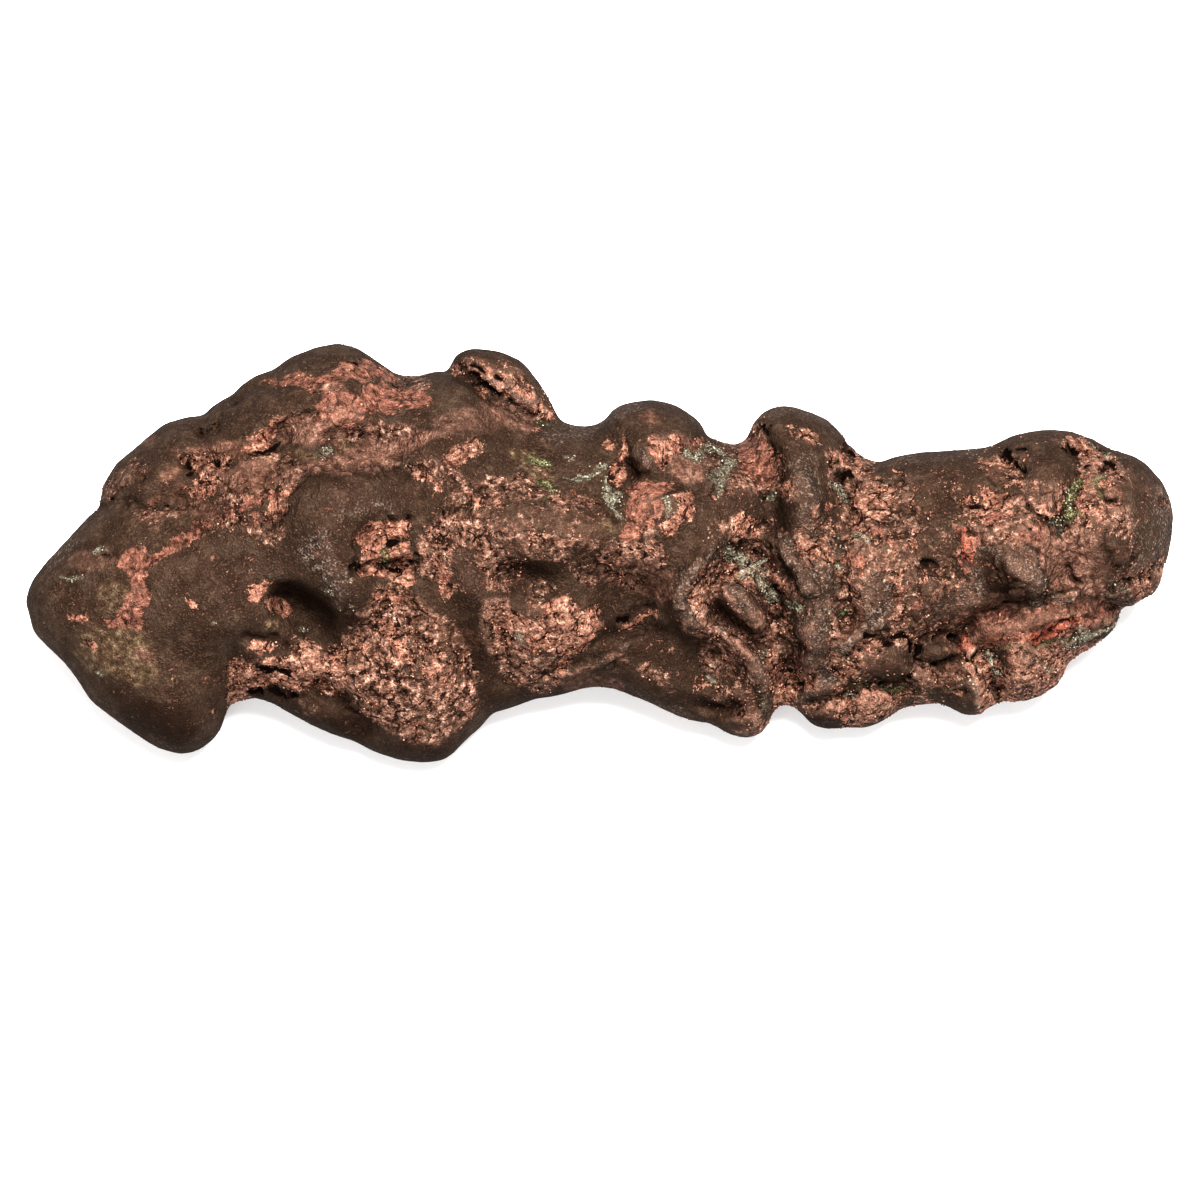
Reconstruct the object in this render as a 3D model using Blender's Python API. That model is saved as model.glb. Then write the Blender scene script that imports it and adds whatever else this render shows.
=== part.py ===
"""A native copper nugget: one solid piece of metal, 150 mm long, lying on the lumps of its underside.

Copper like this grows as rounded lumps that run into each other and is then worn smooth. So the shape
here is a list of lumps, each an ellipsoid placed by hand, melted together into one skin. Hollows are cut
from it, and ridges and creases are drawn on its upper side.

The lumps are laid out flat, in millimetres: x along the nugget, y across it, z towards the upper side.
They are drawn as they look from an eye over the middle, so the skin is drawn in towards that eye with
height, as lines of sight are. The finished piece is then tipped back onto its feet and set down on the
plane z = 0.
"""

import math

import bpy
import numpy as np
import openvdb
from mathutils import Matrix, Vector

MM = 0.001

TIP_BACK = math.radians(22)  # how far the laid-out shape is tipped back about x when it rests
REST_OFFSET = (-0.11, -2.35, 19.7)  # mm: where the layout's origin comes to lie over the resting plane

EYE = (0.2, -5.9, 654.0)  # mm, the point over the layout from which the lumps are drawn

VOXEL = 0.85  # mm, the grid on which the lumps are melted together
GRID_LOW = (-79, -31, -27)  # mm, corners of that grid
GRID_HIGH = (79, 31, 22)
TRIANGLES = 9400  # the finished solid has about this many
FLAT_WITHIN = 0.00005  # m, corners this close to the resting plane lie on it
LARGEST_MELT = 12  # mm, past this distance a lump can't change the skin

SLAB_LEVEL = -5.0  # mm, middle height of the slab that fills the outline
SLAB_ROUND = 8.0  # mm, its half thickness, and the radius its edge is rounded to
EDGE_MELT = 1.5  # mm, how softly the lumps are trimmed back to the outline
EDGE_GROWN = 0.33  # mm, the outline is grown by this first, to make up for that softness
FLANK_ROUND = 17.0  # mm, radius to which the flanks curve in above and below the slab's middle
FLANK_HEIGHT = 14.0  # mm, above this the flanks curve in no further

COLOUR = (0.13, 0.062, 0.040)  # linear, the dark brown skin with the bare copper showing through
ROUGHNESS = 0.5
METALLIC = 0.5

# The outline seen square on from the upper side, as (x, y), starting at the left tip and going clockwise.
OUTLINE = (
    # the left end's upper side and the cheek
    (-74.7, -6), (-73.9, -3.6), (-72.3, -1.4), (-69.4, 1.6), (-65.7, 5.7), (-65.2, 6.3), (-64.7, 8.9),
    (-63.1, 11.8), (-59.7, 14.6), (-56.8, 17.1), (-54, 17.9),
    # the brow and the hump
    (-52, 18.3), (-50, 19.5), (-47.5, 21), (-46.5, 22.5), (-44.5, 23.7), (-42.5, 24.2), (-40, 26),
    (-37, 27), (-34, 27.6), (-31.5, 27), (-29, 25.2), (-26.5, 23.3), (-24, 23.2), (-22, 23.9),
    (-20, 24.2),
    # the flap
    (-19.6, 24.5), (-18.6, 26.3), (-17, 27), (-15, 27), (-12.4, 26.5), (-9.8, 25.2), (-8.2, 22.9),
    (-6.2, 20), (-5, 17.6), (-3, 16.8),
    # the first knob
    (-1, 16.7), (0.5, 17.3), (2, 19.3), (4, 20), (7, 20.4), (10, 19.8), (12, 18.5), (13.5, 17.3),
    (14, 15.9), (14, 15.1),
    # the saddle and the second knob
    (15, 15), (17, 14.5), (18.2, 14.2), (19.5, 15), (19.7, 16), (20, 17), (21.5, 18.7), (23, 19.5),
    (25, 19.5), (28, 18.5), (30, 17.7), (32, 15.5), (33, 14.3), (35, 12.5),
    # the back ledge and the crown
    (37, 11.7), (38, 12.6), (39.5, 13.1), (43, 13.5), (48, 13.8), (51, 14.1), (54, 15.5), (57, 16.2),
    (60, 16.4), (62, 16.2), (64.6, 15.2), (67.1, 13.8),
    # the right end
    (70.1, 13), (71.7, 11.9), (73.7, 9.6), (74.7, 7.6), (75.1, 5.5), (74.8, 2), (74.4, 0), (73.7, -3),
    (72.8, -5), (70.5, -6.1), (69.3, -6.2), (68.5, -7),
    # the shelf and the second tooth
    (68, -8.5), (67, -10), (65.4, -11.3), (62.7, -12.9), (61.2, -13.9), (60.9, -15.5), (60, -17),
    (58, -18.4), (55.5, -19.3), (52.5, -19.4), (51.5, -19.8), (50.5, -20.6), (48.5, -21.1),
    # the hips, the notch and the tooth
    (46.5, -20.3), (44.5, -19.3), (42, -19.6), (39.5, -19.9), (38, -21), (36.5, -22), (34.5, -22.6),
    (32.5, -22.4), (30.5, -22.8), (28.5, -22.5), (27, -21.2), (26, -20.1), (24.5, -19.5), (22.6, -20.1),
    (22.6, -21.6), (21.6, -23.2), (19.5, -24.1), (17.5, -23.8), (15.9, -23), (14.9, -22), (12.5, -21.6),
    # the roll and the waist
    (10.5, -21), (8, -19.7), (5, -18.4), (2.5, -17.5), (0, -17.1), (-3, -17.5), (-5, -18.2),
    (-8, -18.7), (-10, -19.5),
    # the middle foot and the haunch
    (-12, -20.3), (-14, -20.6), (-14.8, -22), (-16.5, -23.5), (-18.3, -25), (-19, -26), (-20.5, -26.9),
    (-23, -27.2), (-26, -26.9), (-28.5, -26), (-31, -25), (-34, -23.7), (-37, -22.3), (-40, -20.6),
    # the fore foot and the chin
    (-42.5, -19.2), (-45, -18.5), (-47, -19.5), (-48.7, -20), (-49.3, -22), (-50.5, -24),
    (-52.5, -25.5), (-54.5, -25.9), (-57, -25.3), (-59.8, -23.6), (-62.8, -21.6), (-65.9, -19.3),
    (-67.5, -16.8), (-69.6, -13.8), (-72.1, -11.5), (-73.7, -9.8),
)

# Each lump: centre, radii, turn about z in degrees, and melt, the radius over which it runs into the rest.
LUMPS = {
    # the blunt left end
    "snout_tip": ((-65.8, -6.2, -3), (9.2, 7.4, 9), 0, 5),
    "snout_underlip": ((-67.2, -10.2, -4), (6.2, 5.6, 7), -30, 3),
    "snout_crown": ((-57, -5, -3), (13, 12, 13), 0, 6),
    "snout_chin": ((-61.5, -14, -3.5), (7.4, 7.4, 9), -35, 4),
    "fore_foot": ((-55.3, -17.6, -3), (6.7, 8.3, 9), 0, 4),
    # the shoulders along the back of the left half
    "cheek": ((-56.8, 6.2, -4), (8.2, 7.6, 10), 0, 3),
    "cheek_end": ((-62.6, 4.2, -3.5), (4.8, 5, 8), 0, 2),
    "cheek_top": ((-54, 11.6, -4), (6.2, 6, 9), 20, 2),
    "brow": ((-46, 12.3, -3), (7.2, 8, 12), 0, 4),
    "brow_roll": ((-44, 18.2, 2.5), (7.6, 3.2, 7), 14, 1.2),
    "brow_back": ((-42.6, 17.4, -5), (5.4, 6.2, 10), 30, 2),
    "hump": ((-34.4, 16.5, -3), (9.6, 10.6, 12.5), 0, 3),
    "hump_end": ((-25.4, 13.2, -2), (6.4, 8.2, 11), 0, 3),
    "shoulder": ((-20.6, 14.2, 0), (7.8, 8.6, 11), 0, 3),
    "shoulder_knuckle": ((-20.5, 20.3, 3), (4.4, 3.2, 5), -20, 1.5),
    "flap": ((-13.2, 20.3, -8), (8.9, 5.3, 9.5), -40, 0.6),
    "flap_edge": ((-9.8, 20.2, -9), (3.6, 4.6, 7), -20, 1.5),
    # the thick of the left half
    "left_mass": ((-39, 2, -4), (17, 14, 16), 0, 6),
    "neck_swell": ((-48.5, -6, 2), (9, 7.5, 8), 0, 4),
    "boulder": ((-34.2, 1.2, 7), (10.8, 5, 8.6), -70, 4),
    "boulder_top": ((-34, 6.4, 6), (8.6, 5.4, 8.6), 0, 3),
    "armpit": ((-44.8, -12.6, -4), (5.3, 5.4, 10), 0, 3),
    "haunch": ((-35, -13.2, -4), (13.4, 8.6, 10.5), -25, 4),
    "haunch_low": ((-27.4, -19.3, -5), (7, 5.6, 8), -22, 3),
    "mid_foot": ((-23.6, -14, -3), (8.8, 9.5, 11), 0, 4),
    "mid_heel": ((-17.8, -17.2, -5), (4.2, 5, 7.5), 0, 2),
    "mid_toe": ((-22.3, -23, -5), (4.2, 4, 6.5), 0, 2),
    "mid_mass": ((-14, 0, -4), (19, 15, 17), 0, 6),
    "crest": ((-7, 3.4, 5.4), (14, 5, 9.4), -4, 4),
    "waist": ((-6, -8.2, -4), (11.5, 8.6, 12), 0, 4),
    "waist_bulge": ((-6.5, -9, 1.5), (6.5, 4.6, 8.5), 15, 3),
    "roll": ((3.6, -12.8, -5), (8.6, 3.4, 9), 12, 1.5),
    "roll_end": ((9, -15.6, -6), (9, 4.8, 9), -25, 2),
    # the knobs and saddles of the middle
    "saddle_left": ((-2.5, 9, -2), (6, 7, 11), 0, 3),
    "neck": ((8, 2.6, -3), (13, 9.5, 15.5), 0, 4),
    "first_knob": ((7.2, 13, 0), (6.6, 6.9, 10), 0, 1.5),
    "knob_left": ((4, 16, 1), (3.8, 3.6, 7.5), 20, 1),
    "knob_finger": ((5.9, 12, 7), (1.7, 3.4, 4), -15, 0.8),
    "knob_dome": ((11.7, 11.9, 6), (2.8, 2.6, 5), 0, 0.8),
    "copper_plate": ((8.2, 5.6, 7.2), (5.6, 4, 5.8), 12, 2),
    "saddle": ((16, 6.5, -4), (8.5, 7.8, 13), 0, 3),
    "second_knob": ((25.3, 13.1, -2), (5.7, 6, 10.5), 0, 2),
    "second_lip": ((22.8, 16.6, 0), (2.9, 2.6, 7), 0, 1),
    "second_heel": ((29.6, 12.4, -2), (4, 5.2, 9.5), 20, 2),
    "spine_upper": ((27, 7.5, 4.6), (3.6, 8.4, 7.6), -4, 2.5),
    "spine_lower": ((27, -3.6, 4.4), (7.6, 3.4, 8), -56, 2),
    "spine_bulge": ((28.5, -9.8, 4.4), (3.4, 5, 6.5), 8, 2),
    "spine_bed": ((31, -2, -3), (8.5, 10, 13), 0, 3),
    "left_rim": ((12, -2.8, 5), (7.6, 2.6, 7.2), 58, 2),
    "rim_foot": ((12.8, -7, 3), (3.2, 4.2, 8), 20, 1.5),
    "tongue": ((18.4, -6.4, 4), (4.8, 2.2, 6.6), -48, 1),
    "hollow_floor": ((19, -3.6, 0), (5.4, 4.4, 7), -20, 1.5),
    "tooth": ((19.1, -17.3, -4), (3.6, 6.5, 8), 10, 1),
    "tooth_ridge": ((19.4, -13.6, 1), (6.6, 1.5, 8), -60, 0.8),
    "tooth_bed": ((15, -11, -5), (8.4, 8.2, 11), 0, 3),
    "tooth_root": ((13.4, -18, -6), (4.6, 3.8, 7), -15, 1.5),
    "notch_floor": ((24.8, -12, -5), (5, 6.2, 9.6), 0, 2),
    # the barrel of the right half
    "barrel": ((38, -2, -3), (13, 12, 15), 0, 4),
    "barrel_back": ((41, 6.5, -3), (9, 5.6, 12), 0, 3),
    "back_ledge": ((44.6, 10, 0), (8.4, 3.5, 9), 2, 1.2),
    "ridge_knee": ((33.2, -10.4, 3), (6.6, 1.8, 7), 27, 1.5),
    "oval_block": ((36.4, -13.9, 0.6), (4.3, 2.5, 7), 3, 0.8),
    "hip_left": ((30, -16.6, -5), (4.4, 6.2, 9), 0, 1.5),
    "hip_right": ((35.2, -16.6, -5), (4.8, 5.8, 8), 0, 1.5),
    "under_barrel": ((42.5, -12.8, -4), (6.4, 6.4, 10), 0, 2),
    "knee_bed": ((36, -10.6, -4), (9, 6.8, 12), 8, 2),
    "nodule": ((44.1, -12.9, 2.2), (2.8, 1.9, 4.4), 12, 0.4),
    "second_tooth": ((48.6, -15.6, -5), (3.1, 5.6, 9), 0, 1),
    "loin": ((53, 2, -3), (13, 10, 14), 0, 4),
    "loin_edge": ((49, -5, 1.5), (5.4, 5, 8), 0, 2),
    "shelf": ((55.4, -10.8, -4), (7, 7.8, 11.6), 0, 2),
    "shelf_end": ((61.4, -8, -4), (6.8, 6.2, 11), 35, 2),
    "shelf_back": ((57.5, -6.6, -2), (10, 4.4, 10.4), 6, 1),
    "end_crown": ((58, 7.6, -1), (8.6, 8.3, 10), 0, 3),
    "crown_dome": ((58.8, 12, 3.5), (4.4, 3.7, 7), 0, 0.8),
    "end_corner": ((64.4, 9.6, 0), (4, 4.6, 8.5), -20, 1.5),
    "end_lobe": ((66.3, 2.8, -2), (8.6, 8.4, 12), 0, 3),
    "end_brow": ((67.6, 6.2, -2), (7, 6.6, 10.5), -20, 2),
    "end_heel": ((69.6, -1.4, -4), (4.3, 4.8, 8), -20, 2),
    "heel_bead": ((72, -2.6, -4), (2.4, 2.6, 6), 30, 0.8),
    "third_knob": ((54.6, -2.4, 7), (4.9, 4, 6.8), -14, 1),
    # the lumps of the underside that it rests on
    "rest_fore": ((-56, -15.8, -8), (7, 6.6, 7), 0, 4),
    "rest_back_left": ((-37, 4.6, -15.2), (11, 8, 8), 15, 7),
    "rest_back_right": ((46, 2, -14), (12, 8, 8), -10, 7),
    "rest_hip": ((33, -16, -9), (7, 6, 6.4), 0, 4),
    "belly_left": ((-55, 2, -11), (12, 9, 9), 20, 6),
    "belly_middle": ((15, 5, -12), (13, 9, 9), -12, 6),
    "belly_right": ((61, 3, -10), (10, 8, 9), 0, 6),
    "back_bulge": ((-29, 13, -9), (12, 9, 8), 8, 5),
}

# Each hollow is an ellipsoid cut away, written as a lump is.
HOLLOWS = {
    "under_boulder": ((-38.4, -8.2, 11), (5.8, 3.4, 7.5), -38, 1.2),
    "bright_pocket": ((-28.2, 1.6, 15.6), (3.8, 3.6, 5), 0, 1),
    "back_scoop": ((-30.4, 14.8, 11.6), (8, 3.5, 5), 3, 0.5),
    "foot_pit": ((-36, -17.4, 7.6), (2.4, 1.6, 4.6), 0, 1),
    "slope_hollow": ((-9.4, -3.8, 13), (5.4, 2.8, 4.6), -14, 2),
    "waist_valley": ((5, -6.4, 12), (4.6, 3.4, 5.6), -20, 3),
    "copper_recess": ((21.2, 12, 9), (2.3, 4.2, 5.5), 8, 0.8),
    "central_hollow": ((21.4, -1.4, 12.5), (5.6, 3, 6.6), -24, 1),
        "tongue_valley": ((17, -9.4, 8.4), (3.8, 1.5, 5), -50, 1),
    "tooth_valley": ((23.8, -11.9, 7), (4.6, 1.4, 4), -4, 1),
    "tooth_face": ((14, -15.2, 5.4), (3, 4, 3.6), 20, 2),
    "notch": ((25, -16.9, 3.6), (2, 4, 5.4), 0, 1),
    "crown_hollow": ((53.4, 12, 9), (3, 2, 5), -25, 0.8),
    "spine_crevice": ((32, 10.6, 8.5), (1.2, 4.4, 5.5), 14, 0.8),
}

# Strokes drawn on the upper side: points (x, y), half width, and how far they rise, below zero for a crease.
STROKES = {
    "cheek_crease": (((-67, 7), (-64, 6.6), (-60, 6.4), (-54, 7.4)), 1.3, -1.4),
    "cheek_notch": (((-51.6, 18), (-51.3, 17), (-52, 15)), 1.0, -1.3),
    "cheek_swell": (((-59, 10), (-55, 14)), 2.6, 0.7),
    "brow_valley": (((-55, 12.3), (-50, 12.4), (-46, 13.6), (-42.5, 15.6), (-38, 17.8)), 1.2, -1.2),
    "brow_step": (((-45.6, 21.4), (-43, 22.2), (-38.5, 21.4), (-36, 19.8)), 0.9, -0.8),
    "snout_dip": (((-70, -2), (-67.5, -6), (-64, -9)), 2.2, -0.6),
    "snout_seam": (((-62, 1), (-58.6, -4), (-60, -10)), 1.3, -0.5),
    "arm_edge": (((-47.6, -12.5), (-47.2, -16), (-48, -20)), 1.1, -1.0),
        "hollow_end": (((-36, -10.6), (-34.2, -12.4)), 1.3, -1.6),
    "flap_crack": (((-19.2, 24.3), (-17, 23.4), (-14, 21.6), (-9.5, 18.2), (-7.2, 17.4)), 0.8, -2.4),
    "pocket_crack": (((-32.2, -2.2), (-28, -1.6), (-24.5, -1.2)), 0.7, -1.8),
    "side_valley": (((-21, -2), (-18, -8), (-16.6, -15)), 1.8, -1.3),
    "second_valley": (((-13, -8), (-12, -16)), 1.4, -0.9),
    "foot_groove": (((-46, -10.8), (-41, -12)), 1.0, -0.6),
    "foot_shade": (((-36, -18.5), (-33.2, -20), (-31, -23)), 1.7, -1.8),
    "roll_crease": (((-7, -15.8), (-3, -13.4), (1, -10.6), (5, -10)), 1.0, -1.3),
    "roll_groove": (((0, -15), (5, -13.4)), 0.8, -0.7),
    "knob_crease": (((2.6, 15.5), (3.3, 12.5), (4.3, 10.2)), 0.9, -1.3),
    "knob_recess": (((8.2, 13.6), (10, 14)), 1.5, -1.2),
    "knob_brow": (((1.6, 15.6), (4.4, 18), (9, 18), (12.4, 15.6)), 1.2, 0.5),
    "plate_edge": (((12.6, 7.5), (12, 4), (9, 2)), 0.9, -0.7),
    "recess_edge": (((20.6, 15.2), (21.8, 15.2), (23.3, 13.5), (23.8, 10)), 0.8, -1.0),
    "rim_crest": (((16.4, 3), (13.6, 0), (11, -4), (10.6, -7), (12, -10)), 0.9, 0.9),
    "hollow_lip": (((18, 2.6), (22, 1.6), (25.5, -1.4), (27.6, -4.8)), 0.9, 0.7),
    "tongue_crest": (((16, -4.4), (19, -5.2), (20.8, -7.6), (21.4, -10)), 0.8, 0.9),
    "tooth_crest": (((16, -9.8), (19.4, -12.6), (21.4, -16), (21.9, -20)), 0.9, 1.1),
    "tooth_crack": (((12.6, -19.4), (15.5, -20.2), (18.5, -20)), 0.8, -1.8),
    "spine_sheen": (((29.6, -7), (28, -10), (27.6, -14), (28.4, -17)), 1.2, 0.7),
    "barrel_valley": (((33.5, 4), (31.3, 0), (31.5, -4), (32.9, -8.6)), 1.3, -1.6),
    "barrel_pock": (((38.4, -3), (38.8, -6)), 0.9, -0.7),
    "crown_valley": (((64, 13.2), (63.2, 11), (61.6, 7), (60, 3)), 1.2, -1.3),
    "crown_pits": (((61, 14), (62.6, 13)), 0.8, -1.1),
    "corner_pit": (((65.8, 12.4), (66.6, 11.6)), 0.8, -0.9),
    "ledge_crack": (((39.5, 11.4), (39.9, 9.2)), 0.7, -1.5),
    "ledge_dip": (((42, 7), (46, 6.4), (50, 6.8), (54, 7.4)), 1.9, -1.0),
    "under_ledge": (((47.2, -10.6), (49.6, -7.6), (54, -7.4), (59, -6.6), (65, -6.4), (67.4, -6.7)), 0.9, -1.6),
    "shelf_crease": (((50, -12.8), (55, -11.6), (60, -9.8), (65, -8)), 0.9, -1.2),
    "shelf_fold": (((52, -12.4), (52.6, -15), (52, -18)), 1.0, -1.2),
    "end_fold": (((69.4, 5), (69.2, 1), (69.8, -2.4)), 1.3, -0.9),
    "heel_crease": (((67.4, -2.5), (70, -3.6), (72.6, -1.4), (73.4, 0.6)), 0.8, -0.8),
    "hip_crease": (((28, -19.3), (33, -18), (36, -17.1), (41, -17.4)), 0.9, -1.6),
    "hip_split": (((32.8, -18), (32.6, -21)), 0.8, -0.9),
    "haunch_rim": (((-44, -14.4), (-38, -14.6), (-33, -15.6)), 1.2, 0.4),
    "nodule_ring": (
        ((41.1, -13.2), (42.6, -10.9), (46.7, -10.9), (47.2, -13), (44.4, -15.2), (41.1, -13.2)),
        0.7,
        -1.7,
    ),
    "second_crest": (((47.6, -11.6), (49.2, -15), (50.2, -19)), 0.9, 0.9),
    "barrel_hole": (((43, -1.6),), 0.9, -2.2),
    "plate_rise": (((56, 3), (58.5, 1.4)), 2.2, 0.8),
    "shelf_hole": (((59, -5.6),), 0.8, -1.4),
}


def smooth_min(a, b, melt):
    """The smaller of two distances, rounded off where they are within melt of each other."""
    near = np.maximum(melt - np.abs(a - b), 0) / melt
    return np.minimum(a, b) - near * near * melt / 4


def ellipsoid_distance(points, centre, radii, turn):
    """About how far each point lies outside an ellipsoid, below zero inside it."""
    c, s = math.cos(math.radians(turn)), math.sin(math.radians(turn))
    offset = points - np.array(centre, np.float32)
    local = np.stack(
        [c * offset[:, 0] + s * offset[:, 1], c * offset[:, 1] - s * offset[:, 0], offset[:, 2]], axis=1
    )
    scaled = local / np.array(radii, np.float32)
    reach = np.linalg.norm(scaled, axis=1)
    slope = np.linalg.norm(scaled / np.array(radii, np.float32), axis=1)
    return reach * (reach - 1) / np.maximum(slope, 1e-6)


def stroke_distance(points, line):
    """How far each point lies from a line of (x, y) points, seen from above."""
    flat = points[:, :2]
    nearest = np.full(len(points), np.inf, np.float32)
    if len(line) == 1:
        return np.linalg.norm(flat - np.array(line[0], np.float32), axis=1)
    for start, end in zip(line, line[1:]):
        start = np.array(start, np.float32)
        run = np.array(end, np.float32) - start
        share = np.clip((flat - start) @ run / (run @ run), 0, 1)
        nearest = np.minimum(nearest, np.linalg.norm(flat - start - share[:, None] * run, axis=1))
    return nearest


def outline_distance(flat):
    """How far each (x, y) point lies outside the outline, below zero inside it."""
    nearest = np.full(len(flat), np.inf, np.float32)
    inside = np.zeros(len(flat), bool)
    for start, end in zip(OUTLINE, OUTLINE[1:] + OUTLINE[:1]):
        start = np.array(start, np.float32)
        run = np.array(end, np.float32) - start
        offset = flat - start
        share = np.clip(offset @ run / (run @ run), 0, 1)
        nearest = np.minimum(nearest, np.linalg.norm(offset - share[:, None] * run, axis=1))
        if run[1] != 0:
            level = offset[:, 1] / run[1]
            inside ^= (level >= 0) & (level < 1) & (offset[:, 0] < level * run[0])
    return np.where(inside, -nearest, nearest)


def skin_distance(points, edge):
    """About how far each point lies outside the nugget's skin, given how far it lies outside the outline."""
    height = points[:, 2] - SLAB_LEVEL
    distance = np.hypot(np.maximum(edge + SLAB_ROUND, 0), height) - SLAB_ROUND
    for centre, radii, turn, melt in LUMPS.values():
        distance = smooth_min(distance, ellipsoid_distance(points, centre, radii, turn), melt)
    for centre, radii, turn, melt in HOLLOWS.values():
        distance = -smooth_min(-distance, ellipsoid_distance(points, centre, radii, turn), melt)
    upper = 1 / (1 + np.exp(-np.clip((points[:, 2] + 7) / 1.2, -20, 20)))
    for line, half_width, rise in STROKES.values():
        distance -= rise * upper * np.exp(-((stroke_distance(points, line) / half_width) ** 2))
    flank = np.hypot(np.maximum(edge + FLANK_ROUND, 0), np.minimum(np.abs(height), FLANK_HEIGHT))
    return -smooth_min(-distance, FLANK_ROUND - flank, EDGE_MELT)


def melted_mesh():
    """The lumps melted into one skin, as points in millimetres and quads."""
    axes = [np.arange(low, high, VOXEL, dtype=np.float32) for low, high in zip(GRID_LOW, GRID_HIGH)]
    grid_points = np.stack(np.meshgrid(*axes, indexing="ij"), axis=-1)
    edge = outline_distance(grid_points[:, :, 0, :2].reshape(-1, 2))
    edge = np.repeat(edge - EDGE_GROWN, grid_points.shape[2])
    distance = skin_distance(grid_points.reshape(-1, 3), edge).reshape(grid_points.shape[:3])
    field = openvdb.FloatGrid(background=float(LARGEST_MELT))
    field.copyFromArray(np.clip(distance, -LARGEST_MELT, LARGEST_MELT))
    points, _, quads = field.convertToPolygons(isovalue=0.0, adaptivity=0.0)
    return seen_from_eye(points * VOXEL + np.array(GRID_LOW, np.float32)), quads


def seen_from_eye(points):
    """Points drawn on the layout's plane, moved to where they lie on their line of sight at their height."""
    share = 1 - points[:, 2:] / EYE[2]
    middle = np.array(EYE[:2], np.float32)
    return np.hstack([middle + (points[:, :2] - middle) * share, points[:, 2:]])


def set_down(mesh):
    """Scale the laid-out shape to metres, tip it back onto its feet and wear the feet flat where it stands."""
    rest = (
        Matrix.Translation(Vector(REST_OFFSET) * MM)
        @ Matrix.Rotation(TIP_BACK, 4, "X")
        @ Matrix.Scale(MM, 4)
    )
    mesh.transform(rest)
    wear_flat(mesh)


def wear_flat(mesh, within=0.0):
    """Bring every corner that reaches below the plane z = 0, or comes this close to it, onto the plane."""
    for vertex in mesh.vertices:
        if vertex.co.z < within:
            vertex.co.z = 0.0


def copper():
    """Copper under a dark brown patina: a rough, half metallic skin."""
    material = bpy.data.materials.new("patinated_copper")
    material.use_nodes = True
    shader = material.node_tree.nodes["Principled BSDF"]
    shader.inputs["Base Color"].default_value = (*COLOUR, 1.0)
    shader.inputs["Roughness"].default_value = ROUGHNESS
    shader.inputs["Metallic"].default_value = METALLIC
    material.diffuse_color = (*COLOUR, 1.0)
    return material


def main():
    for leftover in list(bpy.data.objects):
        bpy.data.objects.remove(leftover, do_unlink=True)
    points, quads = melted_mesh()
    mesh = bpy.data.meshes.new("copper_nugget")
    mesh.from_pydata(points.tolist(), [], quads.tolist())
    nugget = bpy.data.objects.new("copper_nugget", mesh)
    bpy.context.scene.collection.objects.link(nugget)
    set_down(mesh)

    facets = nugget.modifiers.new("facets", "DECIMATE")
    facets.ratio = TRIANGLES / (2 * len(quads))
    facets.use_collapse_triangulate = True
    depsgraph = bpy.context.evaluated_depsgraph_get()
    faceted = bpy.data.meshes.new_from_object(nugget.evaluated_get(depsgraph))
    nugget.modifiers.remove(facets)
    nugget.data = faceted
    bpy.data.meshes.remove(mesh)
    faceted.name = "copper_nugget"
    wear_flat(faceted, FLAT_WITHIN)

    faceted.materials.append(copper())
    faceted.shade_smooth()


if __name__ == "__main__":
    main()
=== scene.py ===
# %% [markdown]
# # A nugget of native copper
#
# This is one piece of metal, about 150 mm long, that grew in rock and was later dragged and polished by ice and
# sand. Three things make it look real: the big worn forms, which the solid part already has; the fine relief of
# cracks, pits and torn metal; and the finish, a thin dark brown patina with bare copper wherever it was rubbed
# or broken. This script adds the last two over the solid part, and then sets up a plain studio.
#
# The solid part is loaded as a frame that never moves. The skin that shows is a finer copy of it.

# %% Load the solid part
import math

import bmesh
import bpy
import numpy as np
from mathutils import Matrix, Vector, noise


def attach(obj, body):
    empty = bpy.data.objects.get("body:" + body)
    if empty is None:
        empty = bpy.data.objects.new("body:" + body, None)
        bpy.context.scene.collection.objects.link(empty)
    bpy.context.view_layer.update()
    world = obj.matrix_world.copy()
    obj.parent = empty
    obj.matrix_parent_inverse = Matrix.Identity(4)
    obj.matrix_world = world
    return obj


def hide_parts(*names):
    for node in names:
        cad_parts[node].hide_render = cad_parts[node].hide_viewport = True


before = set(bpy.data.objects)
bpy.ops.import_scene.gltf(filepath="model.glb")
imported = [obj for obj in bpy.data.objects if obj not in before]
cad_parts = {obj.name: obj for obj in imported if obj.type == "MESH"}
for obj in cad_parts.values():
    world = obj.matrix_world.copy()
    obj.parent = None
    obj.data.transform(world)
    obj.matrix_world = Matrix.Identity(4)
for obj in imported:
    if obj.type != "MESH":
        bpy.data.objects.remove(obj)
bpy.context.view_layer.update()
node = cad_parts["copper_nugget"]

# %% [markdown]
# All the small forms and colours are placed on one flat drawing of the nugget, in millimetres: x
# along it, y across it. The nugget lies tipped back on its feet, so the drawing is tipped by the same
# angle. The drawing is also made as the eye sees the piece from above its middle: a spot that stands higher
# looks further out. `on_drawing` does this for every vertex, and gives its place on the drawing and its
# height over it.

# %% Lay the drawing over the nugget
MM = 0.001  # metres in a millimetre
TIP_BACK = math.radians(22)
DRAWING_AT = Vector((-0.11, -2.35, 19.7))  # mm, the middle of the drawing over the resting plane
EYE = (0.2, -5.9, 654.0)  # mm over the drawing

TO_THE_RIGHT = Vector((1, 0, 0))
UP_THE_DRAWING = Vector((0, math.cos(TIP_BACK), math.sin(TIP_BACK)))
OUT_OF_THE_DRAWING = Vector((0, -math.sin(TIP_BACK), math.cos(TIP_BACK)))


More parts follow.
